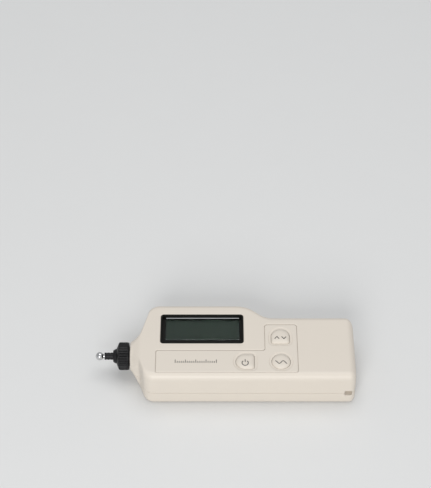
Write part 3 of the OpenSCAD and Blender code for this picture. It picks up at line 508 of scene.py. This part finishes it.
def seam_groove():
    """Rings of a thin diamond-shaped cutter that follows the outside of the case at the parting plane."""
    x = stations(nose_x, butt_x, 0)
    near, far = sides(0)
    t = smooth((x - nose_x) / nose_blend)
    tip = rounding(x - nose_x, nose_end_r)
    drawn_in = rounding(seam_z - mix(axis_z - nose_r, 0, t) - tip, mix(nose_r, back_edge_r, t) - tip)
    near_wall = np.column_stack([x, np.interp(x, *near) + drawn_in])
    far_wall = np.column_stack([x, np.interp(x, *far) - drawn_in])
    path = np.concatenate([near_wall, far_wall[::-1]])
    along = unit(np.roll(path, -1, 0) - np.roll(path, 1, 0))
    out = np.column_stack([along[:, 1], -along[:, 0]])[:, None]
    across = np.array([1, 0, -1, 0])[None, :, None] * seam_depth
    up = np.broadcast_to(np.array([0, 1, 0, -1]) * seam_width, (len(path), 4))
    return np.dstack([path[:, None] + out * across, seam_z + up])


pickup_low, pickup_high = box("pickup_housing", "pickup_cap")
spigot_r = 6.7
bore_gap = 0.3
bore_flare = 0.5
pocket_x = nose_x + 2.8
jack_low, jack_high = box("output_jack")
jack_y, jack_z = np.mean([jack_low, jack_high], 0)[1:]
jack_neck_r = 3.0
jack_hole_l = 4


def nose_bore():
    """Rings of the nose's cutter: a bore for the spigot with a rounded mouth, then the pickup's pocket."""
    rim = quarter(bore_flare)
    bore = spigot_r + bore_gap
    pocket = (pickup_high[1] - pickup_low[1]) / 2 + bore_gap
    end = pickup_high[0] + past
    profile = [(0, nose_x - past), (bore + bore_flare, nose_x - past)]
    profile += [(bore + d, nose_x + h) for d, h in rim[::-1]]
    profile += [(bore, pocket_x), (pocket, pocket_x), (pocket, end), (0, end)]
    return turned((axis_y, axis_z), profile, "x")


def shell_cutters():
    """The cutters that both shells share, as one object."""
    hole_r = jack_neck_r + bore_gap
    jack_hole = round_hole((jack_y, jack_z), hole_r, butt_x - jack_hole_l, butt_x + past, "x")
    return form("cutters", nose_bore(), strap_slot(), jack_hole)


def block(low, high):
    """Rings of a plain block between two corners."""
    outline = rounded(rectangle(low[:2], high[:2], 0.02), 1)
    return np.array([np.column_stack([outline, np.full(len(outline), z)]) for z in (low[2], high[2])])


front_hollow = form(
    "front_hollow",
    half_case(True, seam_z - past, case_wall, nose_x + nose_solid, butt_x - case_wall),
)
strap_block_r = slot_r[1] + slot_wall
kept_z = seam_z - 2 * past
carve(front_hollow, form(
    "kept_inside",
    *[round_hole(p, boss_r, kept_z, face_z) for p in screw_places],
    *[round_hole(p, post_r, board_high[2], face_z) for p in post_places],
    *[block((x, axis_y - rib_half, kept_z), (x + rib_t, axis_y + rib_half, face_z)) for x in rib_places],
    round_hole((butt_x, near_y), strap_block_r, slot_low - slot_wall, slot_high + slot_wall),
))
front_shell = form("front_case", half_case(True, seam_z))
recess_z = overlay_low[2]
groove_top = recess_z + past / 10
groove_floor = recess_z - glue_groove_h
glue_groove = [(0, groove_floor), (0, groove_top),
               (glue_groove_w, groove_top), (glue_groove_w, groove_floor)]
carve(
    front_shell,
    front_hollow,
    shell_cutters(),
    form("openings", opening(window_corners, face_in - past, face_z, window_flare, window_flare),
         opening(recess_corners, recess_z, face_z, recess_flare, recess_drop)),
    form("glue_groove", stacked(recess_corners, glue_groove), joined=True),
    form("holes", *[key_rings(p, s, [(key_gap, face_in - past), (key_gap, face_z + past)])
                    for p, s in zip(key_places, key_sides)],
         *[round_hole(p, pilot_r, 0, pilot_z) for p in screw_places]),
    form("groove", seam_groove(), joined=True),
)
place(front_shell, "meter", "case_plastic", case_plastic, "front_shell")

# Rear shell. The lower half of the case, in the same plastic. It holds the battery in a walled bay
# under a sliding door, and its counterbored bosses take the four case screws.
door_low, door_high = box("battery_door")
battery_low, battery_high = box("battery")
door_gap = 0.3
door_y = (door_low[1] + door_high[1]) / 2
door_half = (door_high[1] - door_low[1]) / 2
tongue = 1.5
tongue_z = 2.2
tab_l = 2.5
tab_half = 8
tab_z = 1.3
counterbore_r = 2.6
counterbore_z = 4.0
counterbore_edge = 0.3
screw_hole_r = 1.35
bay_wall = 1.6
bay_front = 4.8
bay_side_gap = 0.4
bay_corner_r = 0.3
bay_below_board = 2.6
lead_notch_half = 3
lead_notch_l = 3
lead_notch_z = 11.25


def door_channel():
    """Rings of the channel's cutter: a T-shaped section carried along X, wide where the tongues run."""
    narrow, wide = door_half - tongue + door_gap, door_half + door_gap
    top = door_high[2] + door_gap
    y = door_y + np.array([-narrow, narrow, narrow, wide, wide, -wide, -wide, -narrow])
    z = np.array([-past, -past, tongue_z, tongue_z, top, top, tongue_z, tongue_z])
    ends = (door_low[0] + tab_l - door_gap, butt_x + past)
    return np.array([np.column_stack([np.full(8, x), y, z]) for x in ends])


bay_low = np.array([battery_low[0] - bay_front, battery_low[1] - bay_side_gap])
bay_high = np.array([butt_x - case_wall, battery_high[1] + bay_side_gap])
bay_corners = rectangle(bay_low, bay_high, bay_corner_r)
bay_top = board_low[2] - bay_below_board
rear_hollow = form(
    "rear_hollow",
    half_case(False, seam_z + past, case_wall, nose_x + nose_solid, butt_x - case_wall),
)
foot_half = door_half + bay_wall
kept_z = seam_z + 2 * past
carve(
    rear_hollow,
    form("kept_inside",
         *[round_hole(p, boss_r, 0, kept_z) for p in screw_places],
         *[block((x, axis_y - rib_half, 0), (x + rib_t, axis_y + rib_half, kept_z)) for x in rib_places],
         round_hole((butt_x, near_y), strap_block_r, slot_low - slot_wall, slot_high + slot_wall)),
    form("feet", block((bay_low[0] - bay_wall, door_y - foot_half, 0),
                       (butt_x, door_y + foot_half, door_high[2] + door_gap + bay_wall))),
)
rear_shell = form("rear_case", half_case(False, seam_z))
counterbore = [
    (0, -past), (counterbore_r + counterbore_edge, -past), (counterbore_r + counterbore_edge, 0),
    (counterbore_r, counterbore_edge), (counterbore_r, counterbore_z), (screw_hole_r, counterbore_z),
    (screw_hole_r, seam_z + past), (0, seam_z + past),
]
carve(
    rear_shell,
    rear_hollow,
    shell_cutters(),
    form("holes", *[turned(p, counterbore, steps=48) for p in screw_places]),
    form("groove", seam_groove(), joined=True),
)
bay_profile = [(-bay_wall, case_wall / 2), (-bay_wall, bay_top), (0, bay_top), (0, case_wall / 2)]
carve(rear_shell, form("bay", stacked(bay_corners, bay_profile), joined=True), how="UNION")
carve(
    rear_shell,
    form("channel", door_channel()),
    form("tab_pocket", block((door_low[0] - door_gap, door_y - tab_half - door_gap, tab_z - door_gap),
                             (door_low[0] + tab_l, door_y + tab_half + door_gap, door_high[2] + door_gap))),
    form("bay_inside", block((*bay_low, -past), (*bay_high, bay_top + past))),
    form("lead_notch", block((bay_low[0] - lead_notch_l, door_y - lead_notch_half, lead_notch_z),
                             (bay_low[0] + past, door_y + lead_notch_half, bay_top + past))),
)
place(rear_shell, "meter", "case_plastic", case_plastic, "rear_shell")

# Battery door. A flat cover that slides off the back towards the butt end, moulded in the case plastic.
# Six grip grooves cross its outer end, and tongues along both sides run in the rear shell's channel.
panel_half = door_half - tongue
panel_x = door_low[0] + tab_l
door_rib = 1.2
door_edge = 0.15
hollow_half = panel_half - door_rib
door_section = np.array([
    [-panel_half, door_low[2]], [panel_half, door_low[2]], [panel_half, tongue_z + door_gap],
    [door_half, tongue_z + door_gap], [door_half, door_high[2]], [hollow_half, door_high[2]],
    [hollow_half, case_wall], [-hollow_half, case_wall], [-hollow_half, door_high[2]],
    [-door_half, door_high[2]], [-door_half, tongue_z + door_gap], [-panel_half, tongue_z + door_gap],
])
door_stations = panel_x + (butt_x - panel_x) * np.linspace(0, 1, 12)
battery_door = form("sliding_door", np.array([
    np.column_stack([np.full(len(door_section), x), door_y + door_section[:, 0], door_section[:, 1]])
    for x in door_stations
]))
grip_r = 0.9
grip_sink = 0.5
grip_half = 9.0
grip_count = 6
grip_pitch = 2.4
grip_x = butt_x - 7.4
grip_z = door_low[2] + grip_sink - grip_r


def grip_groove(x):
    """Rings of one grip groove's cutter: a bar across the door that sinks into it by a shallow arc."""
    reach = grip_half * np.array([-1, -0.97, 0.97, 1])
    size = grip_r * np.array([0.3, 1, 1, 0.3])
    angle = np.arange(20) * np.pi / 10
    return np.array([
        np.column_stack([x + r * np.cos(angle), np.full(20, door_y + y), grip_z + r * np.sin(angle)])
        for y, r in zip(reach, size)
    ])


tab = block((door_low[0], door_y - tab_half, tab_z), (panel_x + 2 * past, door_y + tab_half, case_wall))
carve(battery_door, form("tab", tab), how="UNION")
carve(battery_door, form("grips", *[grip_groove(grip_x - grip_pitch * k) for k in range(grip_count)]))
outer_half = form("outside", half_case(False, seam_z + 5 * past))
carve(battery_door, outer_half, how="INTERSECT")
edge = battery_door.modifiers.new("edge", "BEVEL")
edge.width = door_edge / 1000
edge.segments = 2
edge.limit_method = "ANGLE"
place(battery_door, "battery_door", "case_plastic", case_plastic, "battery_door")

# Bezel. A black satin frame pressed up into the window from inside. Its deep walls lead down to a floor
# with a sloped lip round the glass, and a flange behind the face keeps it in.
black_frame = finish("black_frame", (0.007, 0.007, 0.0055), 0.5, grain=2600, drift=0.3, bump=0.15,
                     specular_ior_level=0.15)
bezel_floor = lens_low[2]
bezel_wall = 1.0
bezel_gap = 0.06
bezel_rim_r = 0.25
bezel_proud = 0.1
flange_t = 1.0
flange_top = face_in - seat_gap
flange_low = flange_top - flange_t
lip_start = 0.86
lip_drop = 0.35
view_inset = 0.55
view_r = 0.4
view_low = lens_low[:2] + view_inset
view_high = lens_high[:2] - view_inset


def framed(profile, steps=6):
    """Rings between two outlines: each item (d, z, t) mixes the window, moved inwards by d, and the view
    of the glass by t."""
    inner = rounded(rectangle(view_low, view_high, view_r), steps)
    outlines = [mix(rounded(inset(window_corners, d), steps), inner, t) for d, z, t in profile]
    return np.array([np.column_stack([o, np.full(len(o), z)]) for o, (d, z, t) in zip(outlines, profile)])


bezel_rim = quarter(bezel_rim_r, 3)
bezel_rim_z = bezel_high[2] + bezel_proud
bezel_in = bezel_gap + bezel_wall
lcd_bezel = form("window_frame", framed([
    (bezel_gap, bezel_low[2], 0), (bezel_gap, flange_low, 0), (-flange, flange_low, 0),
    (-flange, flange_top, 0), (bezel_gap, flange_top, 0),
    *[(bezel_gap + d, bezel_rim_z + h, 0) for d, h in bezel_rim],
    *[(bezel_in - d, bezel_rim_z + h, 0) for d, h in bezel_rim[::-1]],
    (bezel_in, bezel_floor, 0), (0, bezel_floor, lip_start), (0, bezel_floor - lip_drop, 1),
    (0, bezel_low[2], 1),
]), joined=True)
place(lcd_bezel, "meter", "black_frame", black_frame, "lcd_bezel")

# Protective window. A sheet of clear acrylic that lies on the bezel's floor. A thin pale strip laid along
# its far edge is a painted highlight, standing for the light that the clear edge sends back.
clear_window = bpy.data.materials.new("clear_window")
clear_window.use_nodes = True
clear_shader = clear_window.node_tree.nodes["Principled BSDF"]
clear_shader.inputs["Base Color"].default_value = (0.93, 0.96, 0.95, 1)
clear_shader.inputs["Roughness"].default_value = 0.03
clear_shader.inputs["IOR"].default_value = 1.2
clear_shader.inputs["Transmission Weight"].default_value = 1.0
# Pale matt colour of the painted highlight along the window's far edge
painted_edge_highlight = finish("painted_edge_highlight", (0.5, 0.52, 0.52), 0.6, grain=6000, drift=0.1)
edge_bevel = 0.12
lens_r = 0.6
highlight_w = 0.75
highlight_t = 0.03
highlight_inset = 0.5
highlight_r = 0.1
lens_corners = rectangle(lens_low[:2], lens_high[:2], lens_r)
lens_profile = [(edge_bevel, lens_low[2]), (0, lens_low[2] + edge_bevel),
                (0, lens_high[2] - edge_bevel), (edge_bevel, lens_high[2])]
place(form("clear_cover", stacked(lens_corners, lens_profile, 5)), "meter", "clear_window", clear_window,
      "lcd_lens", sharp=20)
# The pale strip just above the window's far edge is a painted highlight, drawn as an opaque pale sheet
highlight_low = (lens_low[0] + highlight_inset, lens_high[1] - highlight_w)
highlight_corners = rectangle(highlight_low, (lens_high[0] - highlight_inset, lens_high[1]), highlight_r)
highlight_profile = [(0, lens_high[2]), (0, lens_high[2] + highlight_t)]
highlight_strip = form("highlight_strip", stacked(highlight_corners, highlight_profile, 3))
place(highlight_strip, "meter", "clear_window", painted_edge_highlight)

# Liquid crystal display. Two thin glasses with a dark green polariser, switched off and blank, in a white
# frame on the board. Two elastic strips carry its signals up from the board.


def dress(names, material):
    """Gives CAD nodes whose shape is right a finished material."""
    for name in names:
        for place_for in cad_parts[name].material_slots:
            place_for.material = material


display_glass = finish("display_glass", (0.03, 0.045, 0.033), 0.16, grain=900, drift=0.12, bump=0.0,
                       specular_ior_level=0.3)
rear_glass = finish("rear_glass", (0.05, 0.06, 0.05), 0.12, grain=900, drift=0.1, bump=0.02)
white_plastic = finish("white_plastic", (0.75, 0.75, 0.72), 0.5, grain=3000, drift=0.03)
elastic_strip = finish("elastic_strip", (0.12, 0.12, 0.13), 0.7, grain=8000, drift=0.3)
dress(["lcd_front_glass"], display_glass)
dress(["lcd_rear_glass"], rear_glass)
dress(["lcd_holder"], white_plastic)
dress(["contact_strips"], elastic_strip)

# Keypad overlay. A thin moulded sheet with softly rounded edges, laid in the L-shaped recess of the face.
# It dips into a shallow dish round each key, and a row of plain tick marks is printed near its end.
overlay_top = overlay_high[2]
overlay_corners = inset(recess_corners, overlay_gap)
overlay_rim_w = 0.8
overlay_rim_h = 0.34
overlay_rim = quarter(1, 5) * [overlay_rim_w, overlay_rim_h]
keypad_overlay = form("keypad_sheet", stacked(overlay_corners, [
    (0, overlay_low[2]), *[(d, overlay_top - overlay_rim_h + h) for d, h in overlay_rim],
]))
key_slit = 0.2
dish_w = 1.9
dish_h = 0.46


def dished_hole(at, side):
    """Rings of the cutter of one key hole, with the dish round it. The dish's height rises from its depth
    to the sheet's top as the fifth power of the way out."""
    t = np.linspace(0, 1, 12)
    dish = np.column_stack([key_slit + dish_w * t, overlay_top - dish_h * (1 - t ** 5)])
    return key_rings(at, side, [(key_slit, face_in), *dish, (key_slit + dish_w, overlay_top + past)])


carve(keypad_overlay, form("holes", *[dished_hole(p, s) for p, s in zip(key_places, key_sides)]))
place(keypad_overlay, "meter", "case_plastic", case_plastic, "keypad_overlay", sharp=40)

ink = finish("grey_ink", (0.04, 0.038, 0.036), 0.6, grain=5000, drift=0.25)
ink_t = 0.02
ink_step = 0.2


def ribbon(path, width, height):
    """Rings of a printed line: a flat section, as wide as the line, carried along the path.
    The height is a function of x and y, so that the line follows a crowned key."""
    path = np.asarray(path, float)
    length = np.append(0, np.cumsum(np.linalg.norm(np.diff(path, axis=0), axis=1)))
    even = np.linspace(0, length[-1], 2 + int(length[-1] / ink_step))
    path = np.column_stack([np.interp(even, length, axis) for axis in path.T])
    along = unit(np.gradient(path, axis=0))
    side = np.column_stack([-along[:, 1], along[:, 0]]) * width / 2
    left, right = path + side, path - side
    up = [height(*p.T) for p in (left, right)]
    corners = [(left, up[0] + ink_t), (right, up[1] + ink_t), (right, up[1] - ink_t), (left, up[0] - ink_t)]
    return np.stack([np.column_stack([p, z]) for p, z in corners], 1)


tick_x = np.linspace(nose_x + 32.5, nose_x + 61.5, 21)
tick_y = key_places[0][1] - 1.2
tick_long, tick_short = 3.0, 1.7
tick_w = 0.5
tick_group = 5
ticks = [
    ribbon([(x, tick_y), (x, tick_y + (tick_short if k % tick_group else tick_long))], tick_w,
           lambda x, y: overlay_top + 0 * x)
    for k, x in enumerate(tick_x)
]
place(form("tick_marks", *ticks), "meter", "case_plastic", ink)

# Keys. Three caps in the case plastic with a shallow crown and a rounded rim: one round, and two with a flat
# side towards it. A flange keeps the cap under the face and a stem works its switch. Each carries a plain
# printed sign.
key_low, key_high = box("measure_key")
crown_rise = 1.9
crown_foot = key_high[2] - crown_rise
flange_w = 1.3
key_play = 0.2
key_flange_t = 1
key_flange_top = face_in - key_play
key_flange_low = key_flange_top - key_flange_t
stem_r = 1.7


def crown(share):
    """Height of the crown at a share of the way to the rim: the rise times (1 - share^5)^0.5."""
    return crown_foot + crown_rise * (1 - share ** 5) ** 0.5


def key_cap(at, side):
    """Rings of a key: its outline shrunk to shares of its size for the crown, then its wall, its flange
    and its stem."""
    rim = key_outline(side)
    shares = np.sin(np.linspace(0, np.pi / 2, 28))
    rings = [(rim * share, crown(share)) for share in shares]
    rings += [(rim, key_flange_top)]
    rings += [(key_outline(side, flange_w), z) for z in (key_flange_top, key_flange_low)]
    stem = [(stem_r, key_flange_low), (stem_r, key_low[2]), (0, key_low[2])]
    rings += [(unit(rim) * r, z) for r, z in stem]
    return np.array([np.column_stack([flat + at, np.full(len(flat), z)]) for flat, z in rings])


def on_crown(at, side):
    """A function that gives the crown's height at x and y, from the rim's distance in that direction."""
    rim = key_outline(side)
    angle = np.arctan2(rim[:, 1], rim[:, 0])
    order = np.argsort(angle)

    def height(x, y):
        x, y = x - at[0], y - at[1]
        reach = np.interp(np.arctan2(y, x), angle[order], np.hypot(*rim.T)[order])
        return crown(np.hypot(x, y) / reach)
    return height


wave = np.linspace(-1, 1, 40)
signs = {
    "measure_key": [arc(2.2, 128, 412, 40), [(0, 3.2), (0, 2.0), (0, 0.8)]],
    "mode_key": [np.column_stack([4.2 * wave, 1.2 * np.sin(wave * 1.5 * np.pi)])],
    "range_key": [
        np.array([(-4.1, -1.0), (-2.5, 1.1), (-0.9, -1.0)]),
        np.array([(0.9, 1.0), (2.5, -1.1), (4.1, 1.0)]),
    ],
}
sign_w = 0.6
sign_drops = [2.1, 1.4, 2.0]
for name, at, side, drop in zip(key_nodes, key_places, key_sides, sign_drops):
    cap = form(name + "_cap", key_cap(at, side))
    place(cap, name, "case_plastic", case_plastic, name)
    lines = [ribbon(np.asarray(path) + at - [0, drop], sign_w, on_crown(at, side)) for path in signs[name]]
    place(form(name + "_sign", *lines), name, "case_plastic", ink)

# Knurled collar. A black moulded ring on the pickup's spigot, with 36 straight ribs for the fingers, a
# steep plain cone at its front and a plain rim at its rear.
knurled_black = finish("knurled_black", (0.005, 0.005, 0.0055), 0.42, grain=2600, drift=0.3, bump=0.2,
                       specular_ior_level=0.24)
collar_low, collar_high = box("knurled_collar")
collar_x = collar_low[0]
collar_r = (collar_high[1] - collar_low[1]) / 2
collar_ribs = 36
rib_depth = 0.6
collar_web = 1.6
collar_hole_r = 4.3
collar_bore_r = spigot_r + 0.05
collar_l = 9
rear_rim_r = collar_r - 0.15


def collar_rings():
    """Rings of the collar: a half section of points (radius, distance from the front, share of the rib
    depth), carried round the probe axis. Between the ribs the radius dips by that share of the rib
    depth, times the square root of a raised cosine of the angle."""
    r = collar_r
    section = np.array([
        (collar_hole_r, 0, 0), (r - 4.5, 0, 0), (r - 4.2, 0.08, 0), (r - 0.8, 1.5, 0), (r - 0.45, 1.7, 0.1),
        (r - 0.2, 1.9, 0.6), (r, 2.2, 1), (r, 4, 1), (r, 6, 1), (r, 7.9, 1), (r - 0.1, 8.1, 0.8),
        (rear_rim_r, 8.15, 0), (rear_rim_r, 8.75, 0), (r - 0.4, collar_l, 0), (collar_bore_r, collar_l, 0),
        (collar_bore_r, collar_web, 0), (collar_hole_r, collar_web, 0),
    ])
    angle = np.arange(12 * collar_ribs) * 2 * np.pi / (12 * collar_ribs)
    dip = rib_depth * (0.5 - 0.5 * np.cos(collar_ribs * angle)) ** 0.5
    radius = section[:, :1] - section[:, 2:] * dip
    x = collar_x + section[:, 1:2] + 0 * angle
    return np.dstack([x, axis_y + radius * np.cos(angle), axis_z + radius * np.sin(angle)])


place(form("finger_ring", collar_rings(), joined=True), "collar", "knurled_black", knurled_black,
      "knurled_collar", sharp=60)

# Probe neck. A turned steel rod, chemically blackened: a front ring, two grooves and a conical shoulder.
# Its rear end goes through the collar into the spigot.
probe_black = finish("probe_black", (0.013, 0.013, 0.014), 0.42, grain=1800, drift=0.4, metallic=0.2,
                     specular_ior_level=0.25)
neck_low, neck_high = box("probe_neck")
ball_low, ball_high = box("probe_ball")
ball_r = (ball_high[1] - ball_low[1]) / 2
ball_x = ball_low[0] + ball_r
neck_r = 2.6
pin_r = 1.2
pin_in = 2.1
pin_gap = 0.05
shoulder_x = collar_x - 0.2
shoulder_l = 2.2
shoulder_top_r = 5.3
groove_starts = (1.5, 3.7)
groove_depth = 0.4
groove_l = 0.5
step_r = 4.0
step_l = 1.8
thread_r = 2.0
thread_edge = 0.4


def neck_profile():
    """Half section of the neck, from the bottom of the ball pin's hole to the end of the thread."""
    r, x, end = neck_r, neck_low[0], neck_high[0]
    hole_r = pin_r + pin_gap
    points = [(0, x + pin_in), (hole_r, x + pin_in), (hole_r, x), (r - 0.3, x), (r, x + 0.3)]
    for start in groove_starts:
        points += [(r, x + start), (r - groove_depth, x + start + 0.08),
                   (r - groove_depth, x + start + groove_l - 0.08), (r, x + start + groove_l)]
    foot, step = shoulder_x - shoulder_l, shoulder_x + step_l
    points += [(r, foot - 0.25), (r + 0.15, foot - 0.05), (4.1, foot), (4.4, foot + 0.25),
               (shoulder_top_r, shoulder_x - 0.2), (shoulder_top_r, shoulder_x), (step_r, shoulder_x)]
    return points + [(step_r, step), (thread_r, step), (thread_r, end - thread_edge),
                     (thread_r - thread_edge, end), (0, end)]


place(form("probe_rod", turned((axis_y, axis_z), neck_profile(), "x", 64)), "probe", "probe_black",
      probe_black, "probe_neck", sharp=25)

# Contact ball. A hardened and polished bearing ball on a pin that is pressed into the neck.
bright_ball = finish("bright_ball", (0.62, 0.62, 0.62), 0.1, grain=900, drift=0.06, bump=0.02, metallic=1.0)
pin_edge = 0.2
half_turn = np.linspace(0, np.pi, 41)
ball_profile = [(ball_r * np.sin(a), ball_x - ball_r * np.cos(a)) for a in half_turn[:-6]]
ball_profile += [(pin_r, ball_x + np.sqrt(ball_r ** 2 - pin_r ** 2)), (pin_r, ball_high[0] - pin_edge),
                 (pin_r - pin_edge, ball_high[0]), (0, ball_high[0])]
place(form("contact_ball", turned((axis_y, axis_z), ball_profile, "x", 72)), "probe", "bright_ball",
      bright_ball, "probe_ball")

# Case screws. Four pan-head steel screws from the back, with cross recesses, sunk in the counterbores.
plain_steel = finish("plain_steel", (0.52, 0.52, 0.53), 0.32, grain=1500, drift=0.1, metallic=1.0)
screw_low, screw_high = box("case_screws")
head_r = 2.3
head_top = screw_low[2]
head_seat = counterbore_z
shank_r = 1.15
recess_half = 1.35
recess_bar = 0.3
recess_depth = 1.1
recess_taper = 0.55


def screw(at):
    """Rings of one screw: a domed head, a plain shank and a blunt point, turned."""
    profile = [(0, head_top), (head_r - 0.7, head_top), (head_r - 0.2, head_top + 0.3),
               (head_r, head_top + 0.8), (head_r, head_seat), (shank_r, head_seat),
               (shank_r, screw_high[2] - 1), (0.5, screw_high[2]), (0, screw_high[2])]
    return turned(at, profile, steps=40)


def cross(at):
    """The two tapered bars of one cross recess."""
    bars = []
    for l, w in ((recess_half, recess_bar), (recess_bar, recess_half)):
        wide = np.array([(-l, -w), (l, -w), (l, w), (-l, w)])
        bars.append(np.array([
            np.column_stack([wide * k + at, np.full(4, z)])
            for k, z in ((1, head_top - past / 2), (1, head_top), (recess_taper, head_top + recess_depth))
        ]))
    return bars


case_screws = form("back_screws", *[screw(p) for p in screw_places])
for k in (0, 1):
    carve(case_screws, form("recess", *[cross(p)[k] for p in screw_places]))
place(case_screws, "meter", "plain_steel", plain_steel, "case_screws")

# Output socket. A black moulded jack with a turned metal bush in its mouth, seated behind the butt wall.
black_resin = finish("black_resin", (0.014, 0.014, 0.015), 0.45, grain=3000, drift=0.25)
bore_r = 1.8
bush_t = 0.35
jack_neck_l = 2.2
jack_bore_l = 11
jack_edge = 0.4
bush_edge = 0.1
jack_body_x = jack_high[0] - jack_neck_l
jack_depth = jack_high[0] - jack_bore_l
jack_block = form("jack_block", block(jack_low, (jack_body_x, *jack_high[1:])))
jack_neck = turned((jack_y, jack_z), [
    (0, jack_body_x - past), (jack_neck_r, jack_body_x - past), (jack_neck_r, jack_high[0] - jack_edge),
    (jack_neck_r - jack_edge, jack_high[0]), (0, jack_high[0]),
], "x")
jack_bore = round_hole((jack_y, jack_z), bore_r + bush_t, jack_depth, jack_high[0] + past, "x")
carve(jack_block, form("neck", jack_neck), how="UNION")
carve(jack_block, form("bore", jack_bore))
place(jack_block, "meter", "black_resin", black_resin, "output_jack")
bush = turned((jack_y, jack_z), [
    (bore_r, jack_depth), (bore_r, jack_high[0] - 2 * bush_edge), (bore_r + bush_edge, jack_high[0]),
    (bore_r + bush_t, jack_high[0]), (bore_r + bush_t, jack_depth),
], "x", 48)
place(form("jack_bush", bush, joined=True), "meter", "plain_steel", plain_steel)

# Circuit board. Glass-fibre board in green resist, with its chips, capacitors, adjusting pots, switches
# and screws. It is hidden in the closed case.
circuit_board = finish("circuit_board", (0.02, 0.11, 0.045), 0.3, grain=1200, drift=0.5, coat_weight=0.5)
blue_sleeve = finish("blue_sleeve", (0.03, 0.07, 0.3), 0.35, grain=2000, drift=0.15)
dress(["main_board"], circuit_board)
dress(["board_chips", "key_switches", "battery_snap"], black_resin)
dress(["board_capacitors", "trim_pots"], blue_sleeve)
dress(["board_screws", "battery_terminals"], plain_steel)

# Vibration pickup. A turned steel cup on the probe axis, held in rubber behind the nose. Inside it a bolt
# clamps a heavy ring on two piezoelectric discs, and a thin lead goes to the board.
ceramic = finish("ceramic", (0.65, 0.6, 0.45), 0.4, grain=3000, drift=0.08)
heavy_metal = finish("heavy_metal", (0.35, 0.34, 0.32), 0.35, grain=1500, drift=0.1, metallic=1.0)
black_rubber = finish("black_rubber", (0.012, 0.012, 0.012), 0.75, grain=4000, drift=0.4)
lead_sleeve = finish("lead_sleeve", (0.03, 0.03, 0.03), 0.5, grain=3000, drift=0.3)
dress(["pickup_housing"], probe_black)
dress(["pickup_cap", "pickup_bolt"], plain_steel)
dress(["piezo_discs"], ceramic)
dress(["seismic_mass"], heavy_metal)
dress(["isolation_ring"], black_rubber)
dress(["pickup_lead", "battery_leads"], lead_sleeve)

# Battery. A nine volt block in a painted steel jacket.
battery_jacket = finish("battery_jacket", (0.04, 0.05, 0.07), 0.35, grain=1500, drift=0.2, metallic=0.5)
dress(["battery"], battery_jacket)

# Floor and light: a plain pale floor, a soft key light low in front, a weaker one from above, and an even
# pale surrounding.
floor_half = 3.0
floor_mesh = bpy.data.meshes.new("floor")
floor_corners = [(-floor_half, -floor_half, 0), (floor_half, -floor_half, 0),
                 (floor_half, floor_half, 0), (-floor_half, floor_half, 0)]
floor_mesh.from_pydata(floor_corners, [], [(0, 1, 2, 3)])
floor = bpy.data.objects.new("floor", floor_mesh)
bpy.context.scene.collection.objects.link(floor)
floor_mesh.materials.append(finish("pale_floor", (0.74, 0.74, 0.73), 0.8, grain=60, drift=0.01, bump=0.0))


def soft_light(name, at, size, power):
    """A square lamp at the given place, turned to the object."""
    lamp = bpy.data.lights.new(name, "AREA")
    lamp.size = size
    lamp.energy = power
    light = bpy.data.objects.new(name, lamp)
    light.location = at
    light.rotation_euler = (-Vector(at)).to_track_quat("-Z", "Y").to_euler()
    bpy.context.scene.collection.objects.link(light)


soft_light("key_light", (-0.25, -1.5, 0.85), 0.8, 15)
soft_light("top_light", (0.1, 0.3, 1.6), 1.2, 9)
world = bpy.data.worlds.new("surrounding")
world.use_nodes = True
world.node_tree.nodes["Background"].inputs["Color"].default_value = (0.95, 0.97, 1.0, 1)
world.node_tree.nodes["Background"].inputs["Strength"].default_value = 0.48
bpy.context.scene.world = world
bpy.context.scene.view_settings.view_transform = "Standard"

# Camera: in front of the case's near side, looking down at the face.
camera_pitch = 46.596
camera_at = (-0.006576, -0.726672, 0.897389)
focal_px = 1583.35
picture_h = 488
camera_lens = bpy.data.cameras.new("camera")
camera_lens.sensor_width = 36
camera_lens.lens = camera_lens.sensor_width * focal_px / picture_h
camera = bpy.data.objects.new("camera", camera_lens)
camera.location = camera_at
camera.rotation_euler = (np.radians(90 - camera_pitch), 0, 0)
bpy.context.scene.collection.objects.link(camera)
bpy.context.scene.camera = camera
